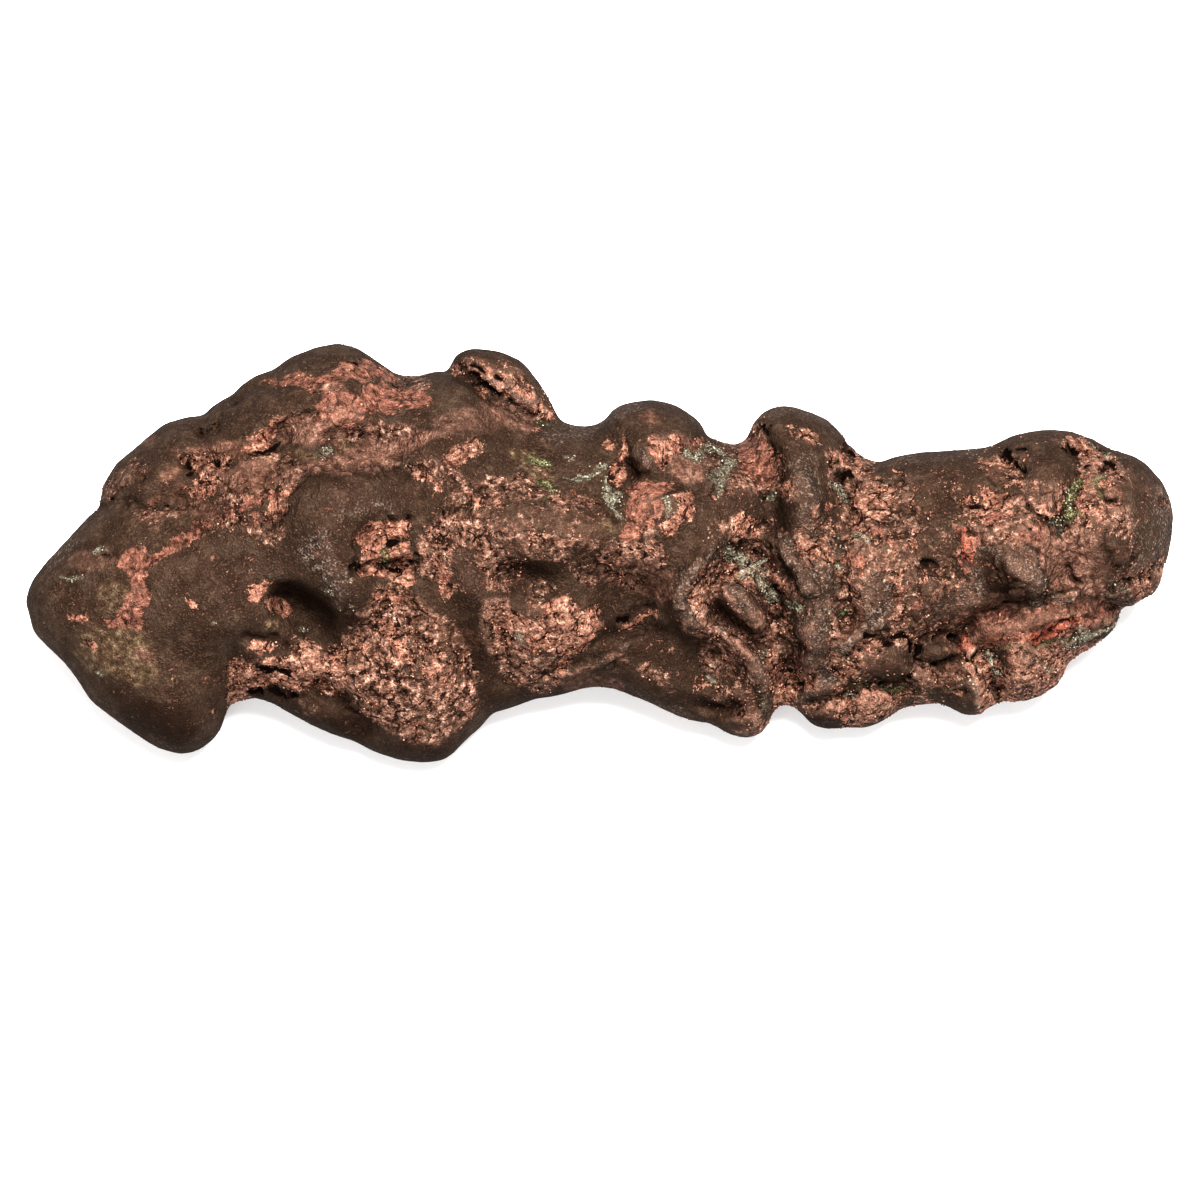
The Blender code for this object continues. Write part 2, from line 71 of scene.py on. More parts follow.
def on_drawing(points):
    """Where points (metres) lie on the drawing (mm), and how high they stand over it (mm)."""
    from_middle = points / MM - np.array(DRAWING_AT)
    across = np.stack([from_middle @ np.array(TO_THE_RIGHT), from_middle @ np.array(UP_THE_DRAWING)], axis=1)
    height = from_middle @ np.array(OUT_OF_THE_DRAWING)
    out_from_eye = EYE[2] / (EYE[2] - height)
    return np.array(EYE[:2]) + (across - np.array(EYE[:2])) * out_from_eye[:, None], height


def places_of(mesh):
    """All vertex places of a mesh as an array, in metres."""
    places = np.empty(len(mesh.vertices) * 3, np.float32)
    mesh.vertices.foreach_get("co", places)
    return places.reshape(-1, 3).astype(np.float64)


def normals_of(mesh):
    """All vertex normals of a mesh as an array."""
    normals = np.empty(len(mesh.vertices) * 3, np.float32)
    mesh.vertices.foreach_get("normal", normals)
    return normals.reshape(-1, 3).astype(np.float64)


print("the drawing is tipped", round(math.degrees(TIP_BACK)), "degrees")

# %% [markdown]
# The solid part is faceted, with triangles of about two millimetres. The real skin is smooth at that size
# and rough below it, so the copy is rebuilt on a fine grid with a Remesh modifier and then relaxed with a
# Smooth modifier until the facets are gone. A fresh mesh is read off each time and the modifiers are
# removed, so every later step starts from plain vertices.

# %% Make the fine skin
SKIN_GRID = 0.37 * MM
SMOOTHING_STEPS = 16


def settled(piece):
    """Replaces the piece's mesh by what its modifiers make of it, and removes them."""
    depsgraph = bpy.context.evaluated_depsgraph_get()
    made = bpy.data.meshes.new_from_object(piece.evaluated_get(depsgraph), depsgraph=depsgraph)
    piece.modifiers.clear()
    old = piece.data
    piece.data = made
    bpy.data.meshes.remove(old)
    return piece


def fine_copy(source, name):
    """A smooth, evenly meshed copy of a faceted closed part."""
    mesh = source.data.copy()
    welded = bmesh.new()
    welded.from_mesh(mesh)
    bmesh.ops.remove_doubles(welded, verts=welded.verts, dist=0.01 * MM)
    welded.to_mesh(mesh)
    welded.free()
    mesh.materials.clear()
    piece = bpy.data.objects.new(name, mesh)
    bpy.context.scene.collection.objects.link(piece)
    remesh = piece.modifiers.new("fine grid", "REMESH")
    remesh.mode = "VOXEL"
    remesh.voxel_size = SKIN_GRID
    relax = piece.modifiers.new("relax", "SMOOTH")
    relax.factor = 0.5
    relax.iterations = SMOOTHING_STEPS
    return settled(piece)


skin = fine_copy(node, "nugget_skin")
print("fine skin:", len(skin.data.vertices), "vertices")

# %% [markdown]
# The finishes are painted like a watercolour, one layer over the last. An `area` is a closed outline on the
# drawing, a `streak` is a line with a half width, and each has a finish and a strength. Paint of strength 1
# covers what was there; weaker paint lets it show, and later turns into speckle instead of an even tint.
# Every outline and line is written as x, y, x, y and so on. A streak of one point is a single round touch.
#
# The list of finishes: "patina" is the dark brown skin and the ground of everything. The grey finish, "dark",
# "rosy", "rusty" and "ochre" are tints of it. The grey is partly worn patina and partly painted sheen on
# crests and lit rims, and "dark" is partly darker patina and partly painted shade in hollows, under overhangs
# and along the lower edges. "mottle" is patina speckled with copper. "copper", "plate", "red" and "rough" are
# bare metal, from smooth to torn. "crust" and "moss" are pale and green minerals, though a few thin pale crust
# lines on crests and rims are painted highlights, and "black" is the inside of a crack or a pore.

# %% Paint on the drawing
FINISHES = ("grey_wear_and_sheen", "dark", "rosy", "rusty", "ochre", "mottle", "copper", "plate", "red", "rough", "crust",
            "moss", "black")
AREA_EDGE = 0.7  # mm over which an area's edge fades
STREAK_EDGE = 0.45  # mm over which a streak's edge fades
THINNEST = 0.17  # mm, half the width of the thinnest line that the skin's mesh can show
DARK_COVER = 0.5  # dark paint is thin, and covers only so much at full strength
RAGGED_OFFSETS = (Vector((3.1, 7.7, 1.3)), Vector((11.9, 2.3, 5.1)))
RAGGED = ((2.6 * MM, 0.7), (0.9 * MM, 0.45))  # size of the noise that frays the edges, and its reach in mm
PAINT = []


def pairs(numbers):
    """The points of a line that is written as x, y, x, y and so on."""
    return tuple(zip(numbers[::2], numbers[1::2]))


def area(finish, strength, *outline):
    PAINT.append((finish, strength, 0.0, pairs(outline)))


def streak(finish, strength, half_width, *line):
    PAINT.append((finish, strength, max(half_width, THINNEST), pairs(line)))


def streaks(finish, *rows):
    """Several streaks of one finish, each row a strength, a half width and a line."""
    for row in rows:
        streak(finish, *row)


def off_line(spots, line):
    """How far each spot lies from a broken line, in mm."""
    nearest = np.full(len(spots), np.inf)
    ends = line[1:] if len(line) > 1 else line
    for start, end in zip(line, ends):
        start = np.array(start, float)
        run = np.array(end, float) - start
        share = np.clip((spots - start) @ run / max(run @ run, 1e-9), 0, 1)
        nearest = np.minimum(nearest, np.linalg.norm(spots - start - share[:, None] * run, axis=1))
    return nearest


def inside(spots, outline):
    """Which spots lie inside a closed outline."""
    within = np.zeros(len(spots), bool)
    for (x0, y0), (x1, y1) in zip(outline, outline[1:] + outline[:1]):
        if y0 == y1:
            continue
        level = (spots[:, 1] - y0) / (y1 - y0)
        within ^= (level >= 0) & (level < 1) & (spots[:, 0] < x0 + level * (x1 - x0))
    return within


def coverage(spots, half_width, line):
    """How fully a streak (half_width over 0) or an area covers each spot, from 0 to 1."""
    if half_width:
        return np.clip(0.5 + (half_width - off_line(spots, line)) / STREAK_EDGE, 0, 1)
    to_edge = off_line(spots, line + line[:1])
    return np.clip(0.5 + np.where(inside(spots, line), to_edge, -to_edge) / AREA_EDGE, 0, 1)


def ragged(spots, places):
    """The drawing's spots shifted by noise, so that no edge or line comes out smooth."""
    shift = np.zeros((len(places), 2))
    for size, reach in RAGGED:
        for axis, offset in enumerate(RAGGED_OFFSETS):
            shift[:, axis] += reach * np.array([noise.noise(Vector(p) / size + offset) for p in places])
    return spots + shift


def near(spots, line, margin):
    """The numbers of the spots in the box around a line."""
    low = np.min(line, axis=0) - margin
    high = np.max(line, axis=0) + margin
    return np.nonzero(np.all((spots > low) & (spots < high), axis=1))[0]


print(len(FINISHES), "finishes over the patina")

# %% [markdown]
# The left end and the shoulder. The skin here is nearly all dark patina, broken by one long copper scrape
# that runs back from the snout. The big pink patch on the hump, the bright pocket under the dome and the
# ragged copper above the gap between the feet are areas; the thin lines of bare metal and the black cracks
# are streaks. Dark islands are painted back over the copper last. The dark paint in the hollow under the
# dome, in the foot pit and along the lower edges is painted shade, and the grey on the dome is painted sheen.

# %% Paint the left end and the shoulder
area("ochre", 0.6, -66.5, -9.5, -62, -9.8, -60, -10, -58.5, -12, -57.8, -15, -58.5, -17, -61, -17.2,
    -63.5, -15.5, -67, -15.2, -68.5, -13, -68.2, -10.5)
area("ochre", 0.45, -65, -3.3, -62.2, -3.6, -61.5, -5.5, -62.5, -7.5, -65, -7.5, -65.7, -5.5)
area("rosy", 0.4, -70, -1, -67, 0.8, -64, 1, -63.2, -0.5, -65, -2, -68, -2.4)
area("plate", 0.95, -62.8, -1.3, -62, 0.2, -61, 0.8, -59.5, 0.9, -58.8, 0.2, -57.5, 0.2, -56.6, 0.9,
    -55.5, 1.9, -54.3, 2.9, -53.2, 3.7, -51.8, 4.4, -51, 3.2, -52.5, 2.2, -54, 1.5, -55.5, 0.6, -56.8, -0.3,
    -58, -1, -58.6, -2.5, -59.2, -3.8, -58.6, -4.5, -58.3, -5.8, -59.3, -6.6, -59.8, -8.2, -60.2, -9.7,
    -61.5, -9.9, -63, -9.4, -64.5, -9, -65, -8.2, -63.5, -7.8, -62, -6.8, -62, -5.5, -61.2, -4.5, -61, -3.2,
    -61.3, -2.2, -62, -1.6)
streaks("copper",
    (0.6, 0.9, -52, 3.8, -49.5, 4.3, -47.5, 4.8),
    (0.7, 0.55, -68.8, -8.3, -68, -8.1),
    (0.9, 0.5, -67.6, -8.3, -66.9, -8.3),
    (0.7, 0.6, -67.1, -11.9, -66.4, -12.2),
    (0.8, 0.3, -62.7, -13.3),
    (0.7, 0.35, -61.6, -15.7),
    (0.75, 0.5, -54, -6.2, -53.2, -6.8),
    (0.5, 0.4, -50.2, -21))
streaks("crust",
    (0.8, 0.4, -65.4, -15.2, -65, -15.6),
    (0.8, 0.2, -50.3, -9.2),
    (0.6, 0.3, -66, 0.5, -65, 0.9, -64.3, 0.8))
streaks("rosy",
    (0.7, 0.8, -60, -13, -58.8, -13.8),
    (0.7, 0.4, -59.3, 14.6, -58.6, 15),
    (0.6, 0.6, -34.2, 7.9, -33.2, 7.7),
    (0.6, 0.5, -35.2, 6.4, -34.8, 5.2))
streaks("black",
    (0.8, 0.25, -65.8, -0.2, -64.6, 0.1, -63.4, 0.4),
    (0.7, 0.25, -67.9, -2.3, -66.8, -2.6),
    (0.6, 0.25, -65.3, -3.6, -64.7, -3.7),
    (0.6, 0.25, -64, 2.8, -63.5, 3),
    (0.5, 0.25, -50, 17.8, -48, 19.5, -46.5, 20.8))
streak("crust", 0.5, 0.35, -70.4, -2.9, -69.2, -3.4, -67.4, -3)
streak("mottle", 0.45, 1.2, -64.6, 8, -62.5, 10, -60.4, 11.4)
streaks("black",
    (0.8, 0.3, -63.8, 7.4, -63.4, 7.8),
    (0.7, 0.25, -63, 8.8, -62.3, 9.2),
    (0.8, 0.3, -60.9, 9.4, -60, 10.4))
area("rusty", 0.8, -58.2, 9.8, -57, 11, -55.2, 12, -54.7, 10.8, -56.5, 9.8)
area("rusty", 0.9, -59.2, 6.8, -58.2, 8, -57, 8.5, -56.2, 7.9, -57.3, 6.9)
area("rusty", 0.8, -55.5, 13.5, -53, 14, -51, 13.9, -49.5, 14.6, -47, 14.8, -45, 14, -44, 13, -45, 12.3,
    -47, 12.7, -49.5, 13.3, -53, 12.8)
area("mottle", 0.6, -61, 5.6, -58, 6, -54, 6.6, -52.5, 7.4, -51.5, 6.2, -55, 5, -60, 4.4)
area("rusty", 0.5, -55.5, 10, -53, 9, -52, 7.4, -50, 6.5, -49.3, 5, -51.5, 4.6, -54, 5.6, -56, 7.8)
area("mottle", 0.7, -48, 12, -46, 13, -42, 13.6, -39.5, 12.5, -37.5, 11.2, -39, 9.8, -41, 9.2, -43.5, 6.8,
    -46, 6, -48.5, 5.4, -50, 7.3, -48.8, 9)
area("rusty", 0.45, -47, 12, -44, 13, -41, 12.6, -40, 11, -43, 9, -46, 8)
area("mottle", 0.75, -50.5, 5, -47, 5.2, -45, 4.3, -42, 4.7, -40.5, 3, -41, 1.4, -43.5, 1.3, -45, 2.6,
    -47, 3.4, -49.5, 3.4)
area("copper", 0.85, -44.5, 4.6, -43, 6.3, -42.5, 7.5, -41.3, 8.8, -39.3, 9.5, -40, 8, -40.3, 6.5, -41.3, 5,
    -42.8, 4.2)
area("rough", 1, -55, 13.4, -54.2, 12.8, -52, 12.9, -50, 13.3, -49, 13.2, -48, 12.8, -47.9, 11.9,
    -48.6, 10.9, -50, 10.4, -49, 9.6, -48.8, 8.7, -50.3, 8.2, -51.6, 7.3, -53, 7.6, -54.5, 8.9, -53.4, 9.6,
    -52.7, 10.4, -53.3, 11.3, -54.6, 11.9, -55.3, 12.8)
streaks("black",
    (1, 0.4, -53.8, 12.1, -53.5, 11),
    (0.9, 0.3, -51.8, 12.3, -50.4, 12.5, -49.5, 12, -48.2, 12.2),
    (0.9, 0.2, -59, 6.1, -57, 6.4, -54.5, 6.9),
    (0.9, 0.35, -51.9, 16.2, -50.6, 16.7, -50, 17),
    (0.8, 0.25, -41.5, 11.2, -41.2, 10.8))
streak("rusty", 0.8, 0.35, -52.4, 11.2, -51.4, 11.5, -51, 10.4)
streak("rosy", 0.8, 0.25, -58.2, 3.9, -57, 4.6)
area("copper", 0.9, -47, 13.9, -45.5, 14.5, -45.2, 15.8, -43.5, 16.6, -42.5, 17.9, -41, 18.3, -39.5, 18.5,
    -39.8, 17.2, -41.3, 16, -43, 15, -43.6, 14.2, -45.5, 13.2)
streaks("black",
    (1, 0.35, -44.9, 13.5, -43.4, 13.7, -42, 14.5, -40.7, 15.4),
    (0.9, 0.22, -42.2, 16.3, -41.2, 16.6, -40.5, 17.3, -39, 17.7))
area("plate", 1, -44.6, 22.4, -43, 22.8, -41.5, 23, -41, 23.8, -39, 23.7, -37.5, 23.2, -36, 23.3,
    -35.2, 24.2, -34, 24.9, -32, 25.1, -30, 25.3, -29, 24.9, -28, 24.3, -26.8, 23.4, -26.3, 22.6,
    -24.5, 22.3, -23.5, 21.9, -22.2, 21.7, -22.8, 20.8, -21.8, 20, -22.3, 19, -23.5, 19.1, -25, 19.1,
    -26.5, 18.9, -28.5, 18.6, -29.8, 17.9, -30.8, 17.1, -32.5, 16.8, -34.5, 16.7, -35.4, 16.5, -36, 15.4,
    -37.6, 16.3, -37.9, 18, -36.9, 19.5, -35.8, 20.5, -36.5, 21.4, -37.8, 21.1, -38.5, 21.8, -40.5, 22.2,
    -42.5, 22.1)
area("rosy", 0.9, -39.6, 18.3, -37.7, 18.4, -36.7, 16.7, -36.3, 15.1, -38.3, 15.2, -39.2, 16.2, -40.4, 16.9)
area("patina", 1, -34.5, 22.4, -32.5, 23, -30.5, 22.7, -29, 22.8, -27.5, 23.1, -26.6, 22.5, -28.5, 22.2,
    -30.3, 22.3, -31.2, 21.1, -32.6, 20.9, -33.6, 21.8)
area("patina", 0.95, -29.8, 17.9, -28.5, 18.7, -27, 18.3, -26.2, 19.4, -24.6, 18.7, -23.3, 18.3,
    -23.6, 17.2, -26, 17, -28, 16.9, -29.5, 17.2)
streaks("patina",
    (0.9, 0.4, -25.4, 19.7, -24.8, 19.6),
    (0.9, 0.5, -39, 16.2, -37.8, 15.8),
    (0.7, 0.35, -35.4, 23.9, -34.4, 23.7))
streak("mottle", 0.8, 0.4, -37.6, 21.8, -34, 21.5)
streaks("black",
    (0.8, 0.2, -34.2, 25, -33, 25.2, -31.2, 24.9),
    (0.7, 0.2, -38, 18.9, -37.2, 18.7))
area("mottle", 0.8, -35.5, 15.5, -33, 16.4, -30.5, 17, -28, 16.9, -24.5, 17, -24, 15.8, -27, 15.2, -31, 15,
    -33.5, 13.9)
area("rosy", 0.85, -36, 12, -33, 14.2, -30, 15.2, -26, 15.6, -22, 16.4, -20.5, 15.6, -23.5, 14, -26, 12.6,
    -28, 11.7, -31, 11.1, -35.3, 11.2)
area("crust", 0.9, -36.4, 14.3, -35, 14.9, -34.9, 13.8, -35.2, 12.5, -36.2, 12.2, -36.7, 13.2)
streaks("ochre",
    (0.9, 0.6, -38.7, 13.4, -37.2, 13),
    (0.9, 0.5, -33.8, 14.9, -33, 14.7))
streaks("black",
    (0.8, 0.3, -35.5, 15.4, -34.8, 16, -34.3, 15.9),
    (0.9, 0.25, -31.4, 15.4, -30.8, 15.7),
    (0.8, 0.25, -28.9, 16.4, -28.2, 16.1, -27.2, 16.2))
streak("rosy", 0.9, 0.22, -37.2, 11.2, -35, 11, -31, 10.9, -28, 11.3, -25.7, 12.3)
area("grey_wear_and_sheen", 0.8, -38.2, 2.8, -36, 3.6, -34.8, 2.5, -34.8, -0.5, -33, -2, -32.6, -5, -33.6, -7, -36, -5.5,
    -36.6, -3, -38, -1.5, -39.5, 0.2)
area("grey_wear_and_sheen", 0.5, -36, 7.6, -32, 7.4, -28, 7, -26, 5.6, -29, 5.4, -32, 5, -34, 4, -36, 5)
streaks("crust",
    (0.9, 0.25, -35.4, -5.1, -34.6, -5.3),
    (0.9, 0.25, -33.8, -6.6, -33.3, -6.5),
    (0.7, 0.3, -36.4, -3.7, -35.8, -4),
    (0.8, 0.2, -32.1, -6.7, -31.7, -6.8))
# painted shade in the hollow under the dome's lower nose
area("dark", 0.4, -41.3, -4.3, -38.5, -3.9, -37, -5, -35, -6.5, -33, -8, -32.2, -9.8, -34, -10.2,
    -35.5, -11.8, -37, -11.2, -38.6, -8.5, -40.3, -7.2, -40.8, -5.5)
area("copper", 1, -29.5, 4.4, -27.8, 4.3, -25.5, 4.6, -24.7, 4.2, -24.9, 2, -24.9, 0, -24.2, -1.5,
    -23.8, -3.5, -25.5, -4.5, -27.5, -3.2, -29, -2.6, -31, -2.8, -31.8, -2, -31.2, -1, -30.4, 0.3, -31, 1.6,
    -32.6, 2.4, -31, 3.2)
streak("patina", 0.8, 0.4, -32.4, 1.4, -31.6, 0.4, -31.9, -0.8)
streaks("black",
    (1, 0.25, -28.4, 5.1, -26.8, 4.6, -25.3, 4.6, -25, 5.3),
    (1, 0.35, -31.9, -1.9, -30.5, -1.6, -28.8, -1.5, -27.6, -1.9, -26.4, -1.9, -24.4, -1),
    (0.85, 0.35, -28.3, 1.5, -27, 1.2, -25.6, 1.5))
streak("moss", 0.9, 0.6, -28, 0.4, -27.7, -0.8)
streaks("crust",
    (1, 0.2, -32, -2.9, -31.9, -3.4),
    (0.9, 0.2, -31.8, -1.5, -31.3, -1.4))
area("copper", 0.95, -45.9, -5.5, -45.6, -4, -44.5, -3.9, -43.6, -2.9, -43.1, -4.2, -44.2, -5, -44.5, -6.4,
    -45.5, -6.2)
area("copper", 0.95, -43.2, -5.4, -41.5, -5.1, -40.6, -6.3, -40, -8.2, -41.2, -8.2, -42.8, -7.5,
    -43.3, -6.6)
streak("ochre", 0.9, 0.5, -43.3, -9.5, -42.2, -9.2)
streak("crust", 0.7, 0.25, -39.4, -9.7, -38.2, -9.9)
streak("dark", 0.8, 0.5, -46.5, -10.9, -43, -10.7, -40.5, -11.8, -39.4, -12.7)
area("copper", 1, -46, -12.2, -45.5, -11.2, -44, -11.1, -42.4, -11.7, -43.6, -12.9, -45, -13)
area("rough", 1, -48.2, -14.5, -47.3, -13.3, -46, -14.2, -44.8, -13.8, -42.5, -13.3, -40.5, -13.3,
    -39.8, -11.8, -37.8, -10.8, -36.8, -11.8, -36.4, -12.8, -34.8, -13.2, -33.5, -14.5, -32.7, -16,
    -33, -17.6, -34.5, -18.3, -35.5, -17.3, -37.4, -17, -38.8, -18.2, -41, -17.2, -43.5, -17, -45, -18.2,
    -46.8, -19.3, -48.6, -19.6, -48.2, -17)
area("mottle", 0.9, -33, -10.5, -29.8, -6, -29, -3.5, -26, -4.5, -24, -5, -22, -7, -20, -8, -18, -10,
    -17, -13, -15.5, -16, -16, -20, -18, -23, -21, -24.5, -25, -24.3, -28, -22.5, -31, -20.5, -33, -17.5,
    -33, -14.5, -35, -13)
streaks("copper",
    (0.7, 0.6, -29.2, -5.4, -26.6, -5.9),
    (0.55, 1.2, -28, -9, -26, -11, -26, -13),
    (0.6, 0.6, -35, -12.6, -31, -12))
streak("mottle", 0.7, 0.9, -38.5, -19.4, -36, -20.6)
streaks("black",
    (0.9, 0.4, -44.9, -14.5, -43.5, -15.4, -42, -14.9, -40.8, -15.5, -40, -16),
    (0.9, 0.5, -45, -18, -43.5, -17.4, -42, -18, -41, -18.6, -39, -18.2))
# painted shade: the foot pit and a strip along the lower edge
streaks("dark",
    (0.95, 0.8, -38.8, -17.8, -37, -17.5, -36, -18.4),
    (0.5, 0.8, -41, -20, -36, -22.3, -32, -24.2))
area("dark", 0.95, -34.5, -18.6, -33.2, -18.8, -32, -20.5, -30.5, -22, -27, -23.6, -29.5, -24, -32.5, -22.8,
    -34.5, -21.4)
area("plate", 0.95, -24.9, -21.9, -23.3, -21.3, -23.1, -23, -23.5, -23.8, -23.9, -22.6)
# painted shade along the lower edges of the mid foot and the snout
streak("dark", 0.7, 0.9, -28, -25.3, -22, -26.6, -18.6, -25.6)
area("dark", 1, -65.5, -17.5, -60, -18.5, -56, -19.5, -53, -20, -52.5, -23.5, -55, -25, -60, -22.5)

# %% [markdown]
# The middle of the nugget. Behind the crest the patina is thin and speckled, with a little green in the
# shelter of the flap. In front of the crest the skin turns down into shade, and the metal shows as one
# ragged bright patch; the wide weak dark tint over that side is painted shade. The first knob keeps its
# dark cap and shows its copper where it has been rubbed, and the dark in the crease under it is painted shade.

# %% Paint the flap, the body and the first knob
area("mottle", 0.8, -19.3, 24.2, -18, 25.7, -16, 26, -12, 25.6, -10, 24, -8, 21.5, -6, 18.7, -5.6, 17.5,
    -8, 17.4, -10, 18.5, -12.5, 20.7, -15, 22.6, -18, 23.6)
streaks("copper",
    (0.9, 0.6, -18.6, 24.4, -17, 25.3, -15.4, 25.3, -14, 24),
    (0.7, 0.7, -13, 24.8, -11, 23, -9.4, 22.4),
    (0.6, 0.7, -10.5, 21.3, -8, 19.6, -6.6, 18.2),
    (0.8, 0.4, -15.8, 22, -14.8, 21.2, -14.2, 20.7))
streak("grey_wear_and_sheen", 0.6, 0.5, -10.8, 20.6, -9.2, 19.8, -8.2, 20.8)
streaks("black",
    (1, 0.45, -17.2, 23.1, -16, 22.8, -14.6, 22.1, -13.8, 21.3, -12.9, 20.6),
    (0.9, 0.28, -12.9, 20.6, -12, 19.9, -11.2, 19.2),
    (1, 0.4, -17.1, 25, -16, 24.5, -15.2, 23.9),
    (0.9, 0.35, -13.8, 23.3, -12.7, 23.1),
    (0.9, 0.35, -9.9, 22.9, -9.2, 22.6),
    (0.7, 0.2, -11.3, 21.2, -10.8, 20.9))
streak("moss", 0.9, 0.35, -12.3, 19.6, -11, 18.6, -9.6, 17.6)
streak("crust", 0.8, 0.3, -12, 19, -10.6, 18)
streak("moss", 0.7, 0.4, -8.6, 17.1, -6.6, 16.8, -5, 17)
area("rosy", 0.4, -22, 17.2, -18, 19.3, -15, 20, -12, 18, -11, 16.8, -15, 16, -20, 15.6)
area("mottle", 0.6, -25, 11.8, -22, 12.6, -18, 11.4, -17, 10, -19, 9.4, -21, 8.3, -24, 9.6)
area("rough", 0.9, -20.3, 12.7, -19.5, 13.7, -18, 13.9, -16.5, 15.2, -15, 14.9, -14.8, 14.2, -15.3, 13.2,
    -16.5, 12.5, -18.5, 11.9, -20, 12.2)
streaks("copper",
    (0.9, 0.5, -23.3, 9.9, -21.6, 9.3, -20.9, 8.5),
    (0.7, 0.35, -8.5, 16.3, -7.4, 16.1))
streak("rough", 0.7, 0.4, -24.6, 11.4, -23, 12)
streak("dark", 0.5, 1.2, -22.5, 7, -19.5, 7.5)
area("mottle", 0.6, -19.5, 8, -15, 10.5, -11, 10.5, -7, 12.5, -5, 8.5, 0, 7.5, 2, 5, 1, 0.5, -3, 1, -8, 1,
    -14, 2, -19, 3, -20, 5.5)
area("mottle", 0.85, -23, 3, -20, 6, -17, 5, -14, 2, -13, -1, -14, -4, -17, -5, -20, -5, -22.8, -3, -24, -1)
streaks("copper",
    (0.6, 0.8, -21, -1, -19.5, -3, -20, -5.5),
    (0.8, 0.5, -16.9, 7.8, -15.5, 7.2, -16, 6.6),
    (0.5, 0.5, -13.2, 7.2, -12, 6.2),
    (0.4, 0.9, -9, 3, -5, 2.2),
    (0.4, 0.6, -18.5, 4.8, -18, 3),
    (0.8, 0.2, 2.9, 16, 3.3, 14.6, 3.4, 13.2))
streak("black", 0.9, 0.3, -20.3, 5.8, -20, 4.8)
area("ochre", 0.7, -11.5, 14, -9, 13.6, -6.5, 12.5, -5.4, 9.5, -6.5, 8.3, -8.4, 9, -9, 11, -11.2, 12.4)
streaks("moss",
    (1, 0.6, -7.6, 9.6, -6.9, 9, -6, 8.5),
    (0.7, 0.5, -8.6, 12.4, -6.5, 11.8),
    (0.8, 0.25, -9.6, 5.9, -8.2, 6.8, -6.6, 7.1))
streaks("black",
    (0.7, 0.25, -10.6, 13, -9.8, 12.5),
    (0.8, 0.25, -6.4, 11.1, -6.2, 10.4),
    (0.7, 0.25, -4.9, 15, -4, 14.6))
area("patina", 1, -5, 11.2, -4.5, 13.6, -2, 14, 0.5, 14, 1, 12.5, -0.5, 11.8, -2.5, 10.5)
streak("patina", 0.9, 0.6, -4.5, 8.8, -1.6, 9.1, 0.4, 8.8, 0.6, 7.4)
streaks("crust",
    (0.6, 0.3, -4, 12.8, -3.2, 12.6),
    (0.95, 0.35, -2.6, 9.9, -1.2, 10, -0.3, 10.9, 0.7, 11.4),
    (0.7, 0.3, -4.2, 10.1, -2.6, 9.7),
    (0.9, 0.4, 0.6, 9.8, 1.3, 8.6, 1.7, 7, 2.4, 5.6, 3.1, 4.9),
    (0.5, 0.6, 2.2, 8, 2.9, 7))
streaks("black",
    (0.9, 0.3, -3.3, 8.1, -2.8, 8.4),
    (0.9, 0.28, 0.6, 6.2, 1.4, 5.5, 2.2, 4.9))
streaks("copper",
    (0.9, 0.2, -3.4, 8.4, -2.9, 8.1),
    (0.8, 0.4, 1.2, 14.5, 1.8, 14.2))
streak("ochre", 0.7, 1, 0.6, 4, 1.6, 3.4)
area("copper", 1, 0.8, 10.2, 1.5, 11.8, 2.7, 12.3, 3.2, 13.9, 3.7, 13, 3.4, 11.2, 3.8, 10, 3, 8.8, 2, 9.2)
area("rosy", 0.7, 6, 14.6, 8, 15.4, 10, 16, 12, 15.6, 14, 14.5, 13.8, 12, 13.5, 9.6, 11.5, 9.2, 9.8, 10,
    9.2, 11.8, 7.6, 12.4, 6.2, 13)
area("copper", 0.9, 6.5, 14.5, 7, 15.2, 8.5, 15, 10, 15.6, 11, 15, 11.7, 14.7, 11.2, 13.6, 10, 13.3,
    9.2, 12, 8.6, 11, 7.7, 10.8, 7.5, 12.5, 7, 13.5)
streak("grey_wear_and_sheen", 0.7, 0.6, 6, 13.8, 6.5, 12.2)
# painted shade in the crease under the first knob's cap
streak("dark", 0.95, 0.8, 4.3, 12, 4.8, 10.5, 6, 10)
streak("patina", 0.9, 0.8, 4.6, 16, 4.4, 13.6)
streak("crust", 0.75, 0.5, 11.6, 13.4, 13, 12.8, 13.6, 13.8)
streak("black", 0.9, 0.22, 8.8, 11.8, 9.3, 12.8, 9.9, 13.3)
streak("copper", 0.8, 0.4, 12.6, 15, 13.6, 14)
streak("rusty", 0.8, 0.6, 6.6, 18, 7.2, 17.8)
area("plate", 0.95, 4, 8.8, 6, 9.8, 8, 9.8, 9.5, 9.7, 9.6, 8.6, 8.9, 8, 8.3, 6.5, 8.2, 5.3, 7, 4.5,
    7.5, 3.2, 6, 2.2, 4.5, 1.3, 3.3, 2.2, 3.2, 3.5, 3.8, 4.8, 3.6, 6.5, 4, 7.8)
streak("mottle", 0.8, 0.5, 5.8, 3, 7.2, 2.2)
area("copper", 0.95, 10, 7.4, 11.2, 8, 12.3, 7.5, 12.6, 6, 12.2, 4.8, 11, 3.8, 10, 2.4, 8.5, 2.6, 8, 3.8,
    9.4, 4.6, 10.2, 5.5, 10.4, 6.5)
streak("crust", 0.7, 0.7, 9, 7, 9.2, 6)
area("mottle", 0.9, 2.2, 1.6, 4, 2, 8, 2, 9, -1, 7, -3.5, 4, -5, 1.5, -3.6, 0.6, -1)
streaks("copper",
    (0.8, 0.6, 2.4, 0.4, 3, -0.6),
    (0.6, 0.4, 5.2, 0.4, 6, 0.2),
    (0.4, 0.6, 4.4, -2, 5.4, -4))
